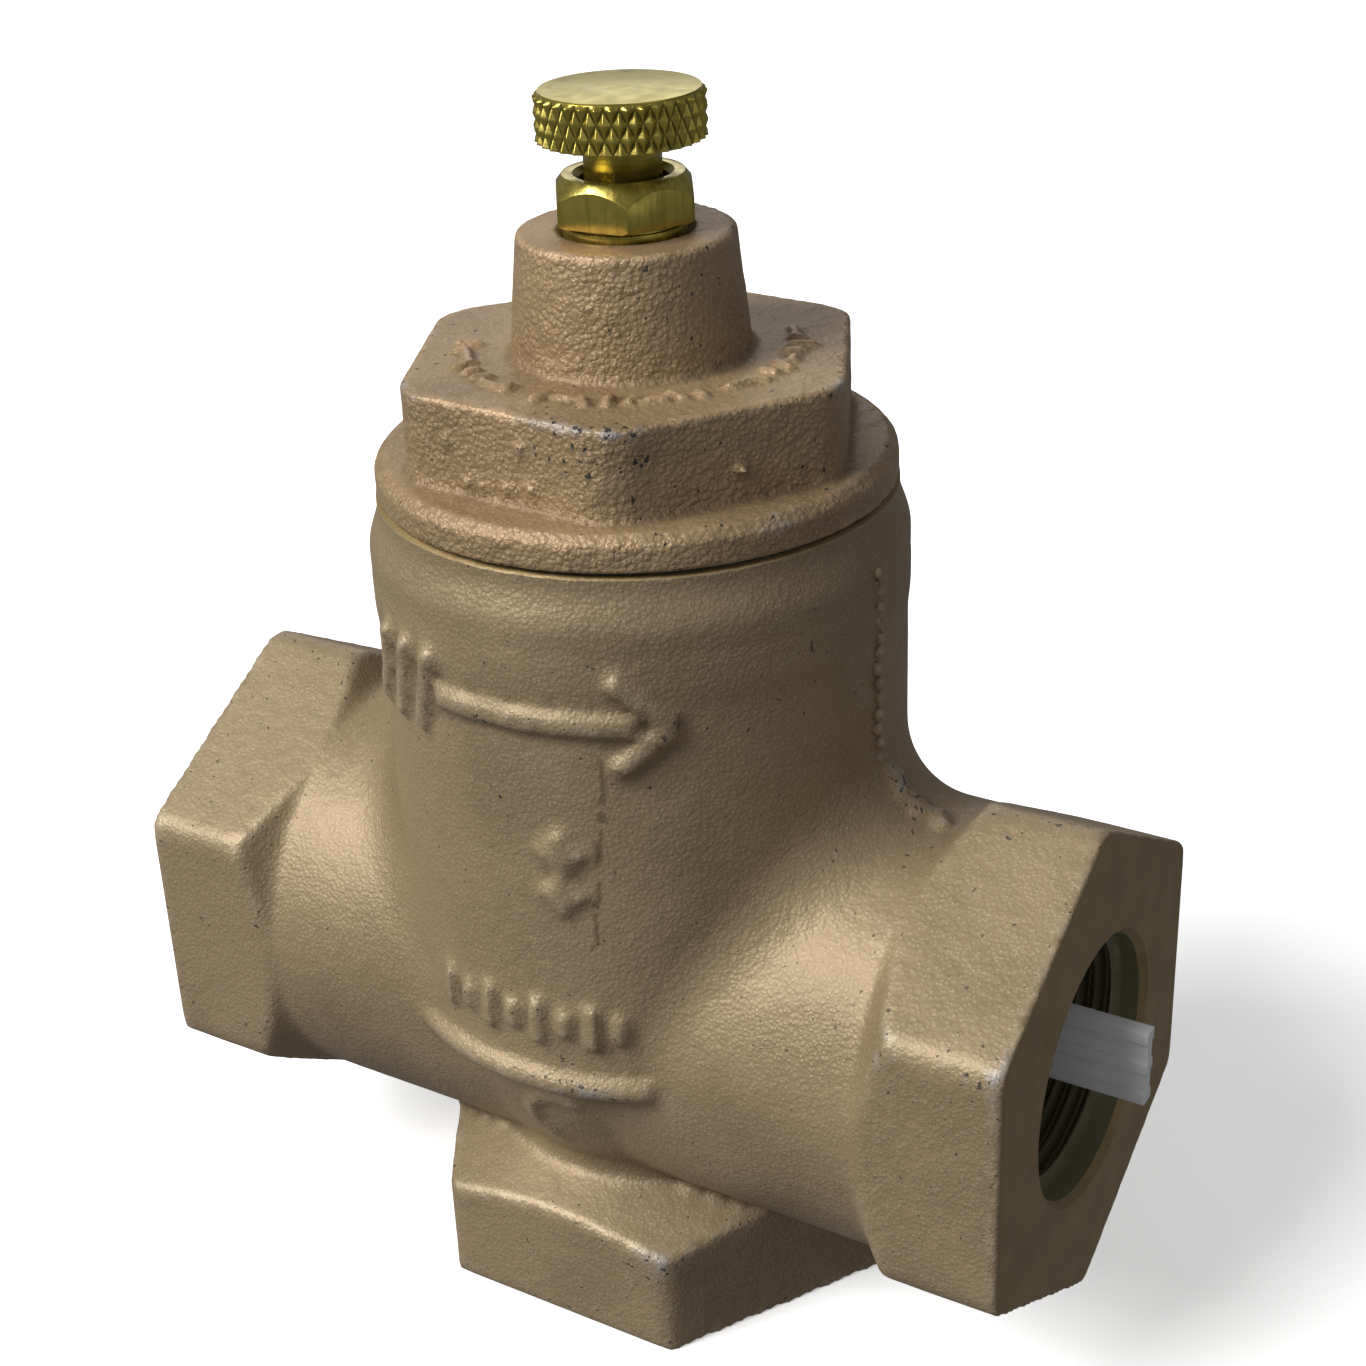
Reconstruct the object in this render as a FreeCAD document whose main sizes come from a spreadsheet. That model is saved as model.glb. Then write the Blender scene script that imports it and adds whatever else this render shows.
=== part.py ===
"""Three-port flow-check valve with a globe-style cast body, screwed bonnet and a knurled opening knob.

The origin is the centre of the bottom port's face, on the stem's axis. +Z runs up the stem, +X runs
out of the right port. Millimetres throughout.
"""
import FreeCAD, Part
import math
import os
import re

import Sketcher

App = FreeCAD
doc = App.newDocument("flow_check_valve")

# Driving sizes. Every other size and place is worked out from these.
SIZES = {
    # run, ports and their hexagons (1 in pipe thread, drawn as a plain bore)
    "face_to_face": 120.0,
    "run_height": 40.5,
    "port_hex_flats": 56.2,
    "port_hex_length": 14.0,
    "port_hex_corner": 3.5,
    "run_hex_shoulder": 4.0,
    "bottom_hex_height": 14.0,
    "bottom_hex_shoulder": 5.0,
    "port_bore_radius": 16.5,
    "port_bore_depth": 19.0,
    "bottom_bore_depth": 15.0,
    "port_chamfer": 0.4,
    "passage_radius": 13.5,
    "passage_slope": 17.0,
    "barrel_radius": 27.9,
    "barrel_blend": 10.0,
    # upright part of the body
    "body_radius": 31.8,
    "body_height": 105.2,
    "lip_drop": 2.5,
    "belly_radius": 29.2,
    "neck_radius": 22.0,
    "shoulder_radius": 32.1,
    "shoulder_height": 13.0,
    "shoulder_ease": 2.5,
    "shoulder_round": 9.0,
    "rim_radius": 29.9,
    "chamber_radius": 25.5,
    "belly_wall": 4.6,
    # partition that carries the seat
    "deck_drop": 2.5,
    "web_thickness": 4.0,
    "deck_half_width": 19.0,
    "web_rise": 24.0,
    "web_lean": 7.0,
    # screwed seat ring
    "seat_bore_radius": 11.0,
    "seat_thread_radius": 12.65,
    "seat_tower_radius": 13.2,
    "seat_flange_radius": 14.5,
    "seat_flange_height": 2.0,
    "seat_height": 10.5,
    "seat_lip_width": 1.0,
    # check disc
    "disc_rim_radius": 18.0,
    "disc_skirt_drop": 0.2,
    "disc_plate": 4.0,
    "seal_radius": 15.5,
    "seal_thickness": 3.0,
    "spigot_radius": 5.0,
    "clamp_washer_radius": 9.5,
    "clamp_washer_thickness": 1.5,
    "guide_flange_radius": 9.0,
    "guide_flange_height": 2.0,
    "guide_wing_length": 18.0,
    "guide_wing_thickness": 3.0,
    "weight_radius": 13.0,
    "weight_height": 26.0,
    "cage_radius": 7.5,
    "cap_thread_radius": 9.5,
    "cap_thread_depth": 5.0,
    "cap_head_height": 3.0,
    "cap_head_radius": 12.0,
    "disc_bevel": 0.8,
    # stem, its lift nut and washer
    "stem_lift": 5.08,
    "disc_free_lift": 6.0,
    "stem_tail_radius": 3.0,
    "stem_radius": 3.97,
    "stem_thread_radius": 4.7,
    "stem_thread_length": 14.0,
    "stem_spigot_radius": 2.5,
    "stem_spigot_length": 19.0,
    "lift_nut_radius": 6.5,
    "lift_nut_height": 4.0,
    "lift_washer_thickness": 1.0,
    "lift_pin_radius": 0.75,
    "tail_overhang": 1.0,
    "pin_recess": 0.4,
    # knob
    "knob_radius": 9.6,
    "knob_height": 5.6,
    "knob_edge": 0.6,
    "knob_gap": 3.6,
    "knob_cover": 1.7,
    "knob_hub_radius": 4.4,
    "knob_pin_radius": 1.0,
    # bonnet
    "gasket_thickness": 0.5,
    "gasket_radius": 29.3,
    "bonnet_flange_radius": 30.64,
    "bonnet_flange_height": 4.4,
    "bonnet_hex_flats": 49.8,
    "bonnet_hex_height": 10.8,
    "bonnet_hex_corner": 6.5,
    "bonnet_hex_angle": -64.0,
    "bonnet_flange_edge": 1.2,
    "boss_base_radius": 14.0,
    "boss_top_radius": 12.5,
    "boss_height": 14.0,
    "bonnet_thread_radius": 26.2,
    "bonnet_thread_length": 12.0,
    "bonnet_thread_relief": 1.0,
    "bonnet_skirt_radius": 21.0,
    "stem_nut_length": 12.0,
    "stem_nut_radius": 9.0,
    # stuffing box
    "box_radius": 6.6,
    "packing_washer_thickness": 1.0,
    "packing_height": 2.0,
    "follower_height": 4.0,
    "recess_radius": 7.75,
    "recess_depth": 1.2,
    "gland_hex_flats": 15.1,
    "gland_hex_height": 5.1,
    "gland_hex_angle": -56.0,
    "gland_hex_chamfer": 0.65,
    "gland_crown": 2.3,
    "gland_standoff": 1.2,
    "gland_collar_radius": 7.1,
    "gland_collar_height": 1.3,
    "gland_groove": 0.5,
    "gland_bore_radius": 5.05,
    # strip that holds nothing in service and is drawn out before the valve is piped
    "strip_thickness": 1.2,
    "strip_rib": 0.5,
    "strip_rib_width": 1.6,
    "strip_reach": 6.5,
    # fits
    "thread_gap": 0.05,
    "running_gap": 0.06,
    "axial_gap": 0.3,
}

sheet = doc.addObject("Spreadsheet::Sheet", "Sizes")
for row, (alias, number) in enumerate(SIZES.items(), start=1):
    sheet.set(f"A{row}", alias)
    sheet.set(f"B{row}", repr(number))
    sheet.setAlias(f"B{row}", alias)
doc.recompute()


def bound(words):
    """The expression with each size's name read from the sheet."""
    return re.sub(r"\b[a-z]+(?:_[a-z]+)*\b", lambda m: f"Sizes.{m[0]}" if m[0] in SIZES else m[0], words)


def value(words):
    """What the expression comes to, in millimetres."""
    return float(sheet.evalExpression(bound(words)))


def bind(obj, **sizes):
    """Binds properties to expressions; a double underscore stands for the dot of a sub-property."""
    for name, words in sizes.items():
        obj.setExpression(name.replace("__", "."), bound(words))
    return obj


def place(obj, x="0", y="0", z="0"):
    return bind(obj, Placement__Base__x=x, Placement__Base__y=y, Placement__Base__z=z)


def turn(obj, axis, words):
    """Turns an object about an axis through its base point by the angle that the expression gives."""
    obj.Placement.Rotation = App.Rotation(App.Vector(*axis), 0)
    return bind(obj, Placement__Rotation__Angle=words)


def primitive(kind, name, **sizes):
    return bind(doc.addObject(f"Part::{kind}", name), **sizes)


def joined(name, *parts):
    obj = doc.addObject("Part::MultiFuse", name)
    obj.Shapes = list(parts)
    obj.Refine = True
    return obj


def cut(name, base, tool):
    obj = doc.addObject("Part::Cut", name)
    obj.Base, obj.Tool, obj.Refine = base, tool, True
    return obj


def common(name, *parts):
    obj = doc.addObject("Part::MultiCommon", name)
    obj.Shapes = list(parts)
    obj.Refine = True
    return obj


def rounded(name, base, radius, chosen):
    """Fillets the base's edges that the test picks."""
    doc.recompute()
    obj = doc.addObject("Part::Fillet", name)
    obj.Base = base
    picked = [i for i, edge in enumerate(base.Shape.Edges, start=1) if chosen(edge)]
    if not picked:
        raise RuntimeError(f"{name}: no edge was picked")
    obj.Edges = [(i, value(radius), value(radius)) for i in picked]
    return obj


def outline_sketch(body, name, role, outline):
    """A closed outline of straight lines whose every corner is dimensioned from the sheet."""
    sketch = body.newObject("Sketcher::SketchObject", name)
    plane = next(f for f in body.Origin.OriginFeatures if f.Role == role)
    sketch.AttachmentSupport = [(plane, "")]
    sketch.MapMode = "FlatFace"
    corners = [App.Vector(value(across), value(up), 0) for across, up in outline]
    count = len(corners)
    for i in range(count):
        sketch.addGeometry(Part.LineSegment(corners[i], corners[(i + 1) % count]), False)
    for i in range(count):
        sketch.addConstraint(Sketcher.Constraint("Coincident", i, 2, (i + 1) % count, 1))
    for i, pair in enumerate(outline):
        for way, axis, words in (("DistanceX", -2, pair[0]), ("DistanceY", -1, pair[1])):
            if words == "0":
                sketch.addConstraint(Sketcher.Constraint("PointOnObject", i, 1, axis))
                continue
            dimension = sketch.addConstraint(Sketcher.Constraint(way, -1, 1, i, 1, value(words)))
            sketch.renameConstraint(dimension, f"{way[-1]}{i}")
            sketch.setExpression(f"Constraints.{way[-1]}{i}", bound(words))
    return sketch


def lathe(name, *outline):
    """A turned solid: (radius, height) corners swept once round the Z axis."""
    body = doc.addObject("PartDesign::Body", name)
    sketch = outline_sketch(body, f"{name}_outline", "XZ_Plane", outline)
    spin = body.newObject("PartDesign::Revolution", f"{name}_turned")
    spin.Profile = sketch
    spin.ReferenceAxis = (sketch, ["V_Axis"])
    spin.Angle = 360.0
    sketch.Visibility = False
    return body


def ring(name, inner, outer, low, high):
    return lathe(name, (inner, low), (outer, low), (outer, high), (inner, high))


def rod_along_x(name, radius, start, end, height):
    """A round bar along X from start to end, its axis at the given height."""
    bar = primitive("Cylinder", name, Radius=radius, Height=f"({end}) - ({start})")
    bar.Placement.Rotation = App.Rotation(App.Vector(0, 1, 0), 90)
    return place(bar, x=start, z=height)


def upright_edges(edge):
    """True for a straight edge that runs along Z."""
    ends = [vertex.Point for vertex in edge.Vertexes]
    return len(ends) == 2 and math.hypot(ends[0].x - ends[1].x, ends[0].y - ends[1].y) < 1e-6


def hexagon(name, flats, height, corner):
    """An upright hexagonal bar with rounded corners, one of them on +X."""
    bar = primitive("Prism", f"{name}_bar", Circumradius=f"{flats} / sqrt(3)", Height=height)
    bar.Polygon = 6
    return rounded(f"{name}_rounded", bar, corner, upright_edges)


# --- Places along the stem axis, from the bottom port's face up ---------------------------------
DECK_TOP = "(run_height - deck_drop)"
DECK_BOTTOM = f"({DECK_TOP} - web_thickness)"
LIP = "(run_height - lip_drop)"
SEAT_LIP = f"({DECK_TOP} + seat_height)"
CLAMP_BOTTOM = f"({SEAT_LIP} - clamp_washer_thickness)"
GUIDE_FLANGE_BOTTOM = f"({CLAMP_BOTTOM} - guide_flange_height)"
WING_BOTTOM = f"({GUIDE_FLANGE_BOTTOM} - guide_wing_length)"
RIM_UNDERSIDE = f"({SEAT_LIP} - disc_skirt_drop)"
SEAL_TOP = f"({SEAT_LIP} + seal_thickness)"
PLATE_TOP = f"({SEAL_TOP} + disc_plate)"
WEIGHT_TOP = f"({PLATE_TOP} + weight_height)"
CAP_UNDERSIDE = f"({WEIGHT_TOP} - cap_thread_depth)"
CAP_TOP = f"({WEIGHT_TOP} + cap_head_height)"
WASHER_TOP = f"({CAP_UNDERSIDE} - axial_gap)"
WASHER_BOTTOM = f"({WASHER_TOP} - lift_washer_thickness)"
LIFT_NUT_TOP = f"({WASHER_BOTTOM} - running_gap)"
LIFT_NUT_BOTTOM = f"({LIFT_NUT_TOP} - lift_nut_height)"
STEM_END = f"({LIFT_NUT_BOTTOM} - tail_overhang)"
CAGE_FLOOR = f"({STEM_END} - disc_free_lift - axial_gap)"
FLANGE_BOTTOM = "(body_height + gasket_thickness)"
FLANGE_TOP = f"({FLANGE_BOTTOM} + bonnet_flange_height)"
HEX_TOP = f"({FLANGE_TOP} + bonnet_hex_height)"
BOSS_TOP = f"({HEX_TOP} + boss_height)"
THREAD_BOTTOM = f"({FLANGE_BOTTOM} - bonnet_thread_length)"
GLAND_HEX_BOTTOM = f"({BOSS_TOP} + gland_standoff)"
GLAND_TOP = f"({GLAND_HEX_BOTTOM} + gland_hex_height)"
KNOB_BOTTOM = f"({GLAND_TOP} + knob_gap)"
KNOB_TOP = f"({KNOB_BOTTOM} + knob_height)"
STEM_TOP = f"({KNOB_TOP} - knob_cover)"
HUB_BOTTOM = f"({STEM_TOP} - stem_spigot_length)"
FOLLOWER_TOP = f"({HUB_BOTTOM} - axial_gap)"
FOLLOWER_BOTTOM = f"({FOLLOWER_TOP} - follower_height)"
PACKING_BOTTOM = f"({FOLLOWER_BOTTOM} - 3 * packing_height)"
BOX_FLOOR = f"({PACKING_BOTTOM} - packing_washer_thickness)"
STEM_NUT_BOTTOM = f"({BOX_FLOOR} - stem_nut_length)"
STEM_THREAD_TOP = f"({BOX_FLOOR} - stem_lift - axial_gap)"
STEM_THREAD_BOTTOM = f"({STEM_THREAD_TOP} - stem_thread_length)"

# Places along the run, and a length that reaches well past the valve
PORT_FACE = "(face_to_face / 2)"
BORE_END = f"({PORT_FACE} - port_bore_depth)"
BEYOND = "face_to_face"


# --- Valve body ----------------------------------------------------------------------------------
def hexagon_end(name, corner_length, shoulder, inner_radius):
    """A port's hexagon, from its face up; its corners slope in towards the casting, as a cone cuts them."""
    bar = hexagon(name, "port_hex_flats", f"{corner_length} + {shoulder}", "port_hex_corner")
    corner_radius = "port_hex_flats / sqrt(3)"
    cone = lathe(
        f"{name}_cone",
        ("0", "0"),
        (corner_radius, "0"),
        (corner_radius, corner_length),
        (inner_radius, f"{corner_length} + {shoulder}"),
        ("0", f"{corner_length} + {shoulder}"),
    )
    return common(f"{name}_shape", bar, cone)


def port_bore(name, depth):
    """A threaded port, drawn as a plain bore from its face up, with a small mouth chamfer."""
    return lathe(
        name,
        ("0", "0"),
        ("port_bore_radius + port_chamfer", "0"),
        ("port_bore_radius", "port_chamfer"),
        ("port_bore_radius", depth),
        ("passage_radius", f"{depth} + port_bore_radius - passage_radius"),
        ("0", f"{depth} + port_bore_radius - passage_radius"),
    )


def on_run(obj, side):
    """Stands a piece that was made from its port's face up at the right (1) or left (-1) end."""
    obj.Placement.Rotation = App.Rotation(App.Vector(0, 1, 0), -90 * side)
    return place(obj, x=f"{side} * {PORT_FACE}", z="run_height")


def where_barrels_meet(edge):
    """True along the curve where the upright barrel's surface crosses the run's."""
    first, last = edge.FirstParameter, edge.LastParameter
    points = [edge.valueAt(first + (last - first) * share) for share in (0.1, 0.5, 0.9)]
    upright, run, axis = value("body_radius"), value("barrel_radius"), value("run_height")
    return all(
        abs(math.hypot(p.x, p.y) - upright) < 0.01 and abs(math.hypot(p.y, p.z - axis) - run) < 0.01
        for p in points
    )


def casting():
    """The body's outside: an upright barrel blended into the run, a round belly and three hexagons."""
    upright = lathe(
        "body_barrel",
        ("0", "0"),
        ("body_radius", "0"),
        ("body_radius", "body_height - shoulder_height - shoulder_ease"),
        ("shoulder_radius", "body_height - shoulder_height"),
        ("shoulder_radius", "body_height - shoulder_round"),
        ("(2 * shoulder_radius + rim_radius) / 3", "body_height - shoulder_round / 2"),
        ("rim_radius", "body_height"),
        ("0", "body_height"),
    )
    run_end = f"({PORT_FACE} - port_hex_length)"
    run = rod_along_x("run_barrel", "barrel_radius", f"-{run_end}", run_end, "run_height")
    blended = rounded("crossing_blended", joined("crossing", upright, run), "barrel_blend",
                      where_barrels_meet)
    above = primitive("Box", "above_lip", Length=f"2 * {BEYOND}", Width=f"2 * {BEYOND}", Height=BEYOND)
    place(above, x=f"-{BEYOND}", y=f"-{BEYOND}", z=LIP)
    below = primitive("Box", "below_lip", Length=f"2 * {BEYOND}", Width=f"2 * {BEYOND}", Height=LIP)
    place(below, x=f"-{BEYOND}", y=f"-{BEYOND}")
    upper = common("upper_casting", blended, above)

    ball = place(primitive("Sphere", "belly_ball", Radius="belly_radius"), z="run_height")
    neck = primitive("Cylinder", "neck", Radius="neck_radius", Height="run_height - bottom_hex_height")
    place(neck, z="bottom_hex_height")
    lower = common("lower_casting", joined("belly", ball, run, neck), below)

    ends = [hexagon_end("bottom_hex", "bottom_hex_height", "bottom_hex_shoulder", "neck_radius")]
    for name, side in (("right_hex", 1), ("left_hex", -1)):
        ends.append(on_run(hexagon_end(name, "port_hex_length", "run_hex_shoulder", "barrel_radius"), side))
    return joined("casting", upper, lower, *ends)


def partition():
    """The S-shaped wall between the inlets below and the outlet above, bored for the seat ring."""
    left = "(-deck_half_width)"
    right = "deck_half_width"
    lean = "web_lean"
    plate = doc.addObject("PartDesign::Body", "partition_plate")
    sketch = outline_sketch(
        plate,
        "partition_outline",
        "XZ_Plane",
        (
            (left, DECK_TOP),
            (f"{left} - {lean}", f"{DECK_TOP} + web_rise"),
            (f"{left} - {lean} - web_thickness", f"{DECK_TOP} + web_rise"),
            (f"{left} - web_thickness", DECK_BOTTOM),
            (f"{right} - web_thickness / 2", DECK_BOTTOM),
            (f"{right} - web_thickness / 2 + {lean}", f"{DECK_BOTTOM} - web_rise"),
            (f"{right} + web_thickness / 2 + {lean}", f"{DECK_BOTTOM} - web_rise"),
            (right, DECK_TOP),
        ),
    )
    pad = plate.newObject("PartDesign::Pad", "partition_pad")
    pad.Profile = sketch
    pad.Midplane = True
    bind(pad, Length="2 * body_radius")
    sketch.Visibility = False
    hole = primitive("Cylinder", "seat_hole", Radius="seat_thread_radius + thread_gap", Height=BEYOND)
    return cut("partition", plate, place(hole, z="0"))


def cavity():
    """Everything hollow inside the casting, before the partition is put back."""
    ball = place(primitive("Sphere", "belly_hollow", Radius="belly_radius - belly_wall"), z="run_height")
    chamber = primitive("Cylinder", "chamber", Radius="chamber_radius",
                        Height=f"{THREAD_BOTTOM} - {DECK_BOTTOM}")
    place(chamber, z=DECK_BOTTOM)
    relief = f"({THREAD_BOTTOM} - bonnet_thread_relief)"
    bonnet_thread = primitive(
        "Cylinder", "bonnet_thread_bore", Radius="bonnet_thread_radius + thread_gap",
        Height=f"body_height - {relief}",
    )
    place(bonnet_thread, z=relief)
    hollows = [ball, chamber, bonnet_thread]
    for name, side in (("right", 1), ("left", -1)):
        hollows.append(on_run(port_bore(f"{name}_port_bore", "port_bore_depth"), side))
        way_in = primitive("Cylinder", f"{name}_passage", Radius="passage_radius", Height=BORE_END)
        place(way_in, x=f"{side} * {BORE_END}", z="run_height")
        # the right passage climbs to the chamber above the seat, the left one falls to the belly below it
        turn(way_in, (0, 1, 0), "-90 + passage_slope" if side > 0 else "90 + passage_slope")
        hollows.append(way_in)
    hollows.append(port_bore("bottom_port_bore", "bottom_bore_depth"))
    rise = primitive("Cylinder", "bottom_passage", Radius="passage_radius",
                     Height=f"{DECK_BOTTOM} - bottom_bore_depth")
    hollows.append(place(rise, z="bottom_bore_depth"))
    return joined("cavity", *hollows)


def valve_body():
    """The casting with its two chambers, which meet only through the seat ring's hole."""
    return cut("valve_body", casting(), cut("flow_space", cavity(), partition()))


def seat_ring():
    """A brass ring screwed into the partition, with a raised lip that the check disc's seal closes on."""
    outer_lip = "seat_bore_radius + seat_lip_width"
    return lathe(
        "seat_ring",
        ("seat_bore_radius", DECK_BOTTOM),
        ("seat_thread_radius", DECK_BOTTOM),
        ("seat_thread_radius", DECK_TOP),
        ("seat_flange_radius", DECK_TOP),
        ("seat_flange_radius", f"{DECK_TOP} + seat_flange_height"),
        ("seat_tower_radius", f"{DECK_TOP} + seat_flange_height"),
        ("seat_tower_radius", f"{SEAT_LIP} - seat_lip_width"),
        (outer_lip, SEAT_LIP),
        ("seat_bore_radius", SEAT_LIP),
    )


# --- Bonnet, gasket and stuffing box -------------------------------------------------------------
def bonnet():
    """Screwed bonnet: threaded skirt, flange, rounded hexagon, tapered boss and the stem's own nut."""
    turned = lathe(
        "bonnet_turned",
        ("stem_thread_radius + running_gap", STEM_NUT_BOTTOM),
        ("stem_nut_radius", STEM_NUT_BOTTOM),
        ("stem_nut_radius", FLANGE_TOP),
        ("bonnet_skirt_radius", FLANGE_TOP),
        ("bonnet_skirt_radius", THREAD_BOTTOM),
        ("bonnet_thread_radius", THREAD_BOTTOM),
        ("bonnet_thread_radius", FLANGE_BOTTOM),
        ("bonnet_flange_radius", FLANGE_BOTTOM),
        ("bonnet_flange_radius", f"{FLANGE_TOP} - bonnet_flange_edge"),
        ("bonnet_flange_radius - bonnet_flange_edge", FLANGE_TOP),
        ("bonnet_hex_flats / 2 - thread_gap", FLANGE_TOP),
        ("bonnet_hex_flats / 2 - thread_gap", f"{HEX_TOP} - bonnet_flange_edge"),
        ("boss_base_radius", f"{HEX_TOP} - bonnet_flange_edge"),
        ("boss_base_radius", HEX_TOP),
        ("boss_top_radius", BOSS_TOP),
        ("recess_radius", BOSS_TOP),
        ("recess_radius", f"{BOSS_TOP} - recess_depth"),
        ("box_radius", f"{BOSS_TOP} - recess_depth"),
        ("box_radius", BOX_FLOOR),
        ("stem_thread_radius + running_gap", BOX_FLOOR),
    )
    bar = hexagon("bonnet_hex", "bonnet_hex_flats", "bonnet_hex_height", "bonnet_hex_corner")
    bore = primitive("Cylinder", "bonnet_hex_bore", Radius="boss_top_radius", Height="bonnet_hex_height")
    band = place(cut("bonnet_hex_band", bar, bore), z=FLANGE_TOP)
    turn(band, (0, 0, 1), "bonnet_hex_angle")
    return joined("bonnet", turned, band)


def sealing_pieces():
    """The flat gasket under the bonnet, and the stuffing box's washer, packing rings and follower."""
    stem_hole = "stem_radius + running_gap"
    box = "box_radius - thread_gap"
    pieces = [
        ring("bonnet_gasket", "bonnet_thread_radius + thread_gap", "gasket_radius", "body_height",
             FLANGE_BOTTOM),
        ring("packing_washer", stem_hole, box, BOX_FLOOR, PACKING_BOTTOM),
        ring("gland_follower", stem_hole, box, FOLLOWER_BOTTOM, FOLLOWER_TOP),
    ]
    for place_up, name in enumerate(("lower", "middle", "upper")):
        low = f"{PACKING_BOTTOM} + {place_up} * packing_height"
        pieces.append(ring(f"packing_ring_{name}", stem_hole, box, low, f"{low} + packing_height"))
    return pieces


def gland_nut():
    """Brass nut that screws into the boss and presses the follower on the packing."""
    corner = "gland_hex_flats / sqrt(3)"
    bar = primitive("Prism", "gland_hex_bar", Circumradius=corner, Height="gland_hex_height")
    bar.Polygon = 6
    place(bar, z=GLAND_HEX_BOTTOM)
    turn(bar, (0, 0, 1), "gland_hex_angle")
    cone = lathe(
        "gland_hex_cone",
        ("0", GLAND_HEX_BOTTOM),
        (f"{corner} - gland_hex_chamfer / 2", GLAND_HEX_BOTTOM),
        (corner, f"{GLAND_HEX_BOTTOM} + gland_hex_chamfer / 2"),
        (corner, f"{GLAND_TOP} - gland_crown"),
        ("gland_hex_flats / 2 - gland_hex_chamfer", GLAND_TOP),
        ("0", GLAND_TOP),
    )
    collar_top = f"({GLAND_HEX_BOTTOM} - gland_groove)"
    collar_bottom = f"({collar_top} - gland_collar_height)"
    shank = lathe(
        "gland_shank",
        ("0", FOLLOWER_TOP),
        ("box_radius - thread_gap", FOLLOWER_TOP),
        ("box_radius - thread_gap", collar_bottom),
        ("gland_collar_radius", collar_bottom),
        ("gland_collar_radius", collar_top),
        ("box_radius - thread_gap", collar_top),
        ("box_radius - thread_gap", GLAND_HEX_BOTTOM),
        ("0", GLAND_HEX_BOTTOM),
    )
    bore = lathe(
        "gland_bore",
        ("0", FOLLOWER_TOP),
        ("gland_bore_radius", FOLLOWER_TOP),
        ("gland_bore_radius", f"{GLAND_TOP} - gland_hex_chamfer"),
        ("gland_bore_radius + gland_hex_chamfer", GLAND_TOP),
        ("0", GLAND_TOP),
    )
    return cut("gland_nut", joined("gland_solid", common("gland_hex", bar, cone), shank), bore)


# --- Stem and knob, which turn and rise together ---------------------------------------------------
def cross_pin(name, radius, length, height):
    """A pin across the stem, along Y."""
    pin = primitive("Cylinder", name, Radius=radius, Height=length)
    pin.Placement.Rotation = App.Rotation(App.Vector(1, 0, 0), -90)
    return place(pin, y=f"-({length}) / 2", z=height)


def stem_and_knob():
    """The screwed stem, the knurled knob pinned to its top and the lift nut pinned to its tail."""
    turned = lathe(
        "stem_turned",
        ("0", STEM_END),
        ("stem_tail_radius", STEM_END),
        ("stem_tail_radius", CAP_UNDERSIDE),
        ("stem_radius", CAP_UNDERSIDE),
        ("stem_radius", STEM_THREAD_BOTTOM),
        ("stem_thread_radius", STEM_THREAD_BOTTOM),
        ("stem_thread_radius", STEM_THREAD_TOP),
        ("stem_radius", STEM_THREAD_TOP),
        ("stem_radius", HUB_BOTTOM),
        ("stem_spigot_radius", HUB_BOTTOM),
        ("stem_spigot_radius", STEM_TOP),
        ("0", STEM_TOP),
    )
    knob_turned = lathe(
        "knob_turned",
        ("stem_spigot_radius", HUB_BOTTOM),
        ("knob_hub_radius", HUB_BOTTOM),
        ("knob_hub_radius", KNOB_BOTTOM),
        ("knob_radius - knob_edge", KNOB_BOTTOM),
        ("knob_radius", f"{KNOB_BOTTOM} + knob_edge"),
        ("knob_radius", f"{KNOB_TOP} - knob_edge"),
        ("knob_radius - knob_edge", KNOB_TOP),
        ("0", KNOB_TOP),
        ("0", STEM_TOP),
        ("stem_spigot_radius", STEM_TOP),
    )
    nut_turned = ring("lift_nut_turned", "stem_tail_radius", "lift_nut_radius", LIFT_NUT_BOTTOM,
                      LIFT_NUT_TOP)
    knob_pin = cross_pin("knob_pin", "knob_pin_radius", "2 * knob_hub_radius - pin_recess",
                         f"{HUB_BOTTOM} + 2 * knob_pin_radius")
    lift_pin = cross_pin("lift_pin", "lift_pin_radius", "2 * lift_nut_radius - pin_recess",
                         f"({LIFT_NUT_BOTTOM} + {LIFT_NUT_TOP}) / 2")
    # each pin's hole runs right through the piece round the stem, so it is longer than the pin
    knob_hole = cross_pin("knob_pin_hole", "knob_pin_radius", "3 * knob_hub_radius",
                          f"{HUB_BOTTOM} + 2 * knob_pin_radius")
    lift_hole = cross_pin("lift_pin_hole", "lift_pin_radius", "3 * lift_nut_radius",
                          f"({LIFT_NUT_BOTTOM} + {LIFT_NUT_TOP}) / 2")
    return [
        cut("stem", turned, joined("stem_pin_holes", knob_hole, lift_hole)),
        cut("knob", knob_turned, knob_hole),
        cut("lift_nut", nut_turned, lift_hole),
        knob_pin,
        lift_pin,
    ]


def lift_washer():
    """Thrust washer between the turning lift nut and the cap that it raises."""
    return ring("lift_washer", "stem_tail_radius + running_gap", "lift_nut_radius", WASHER_BOTTOM,
                WASHER_TOP)


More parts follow.
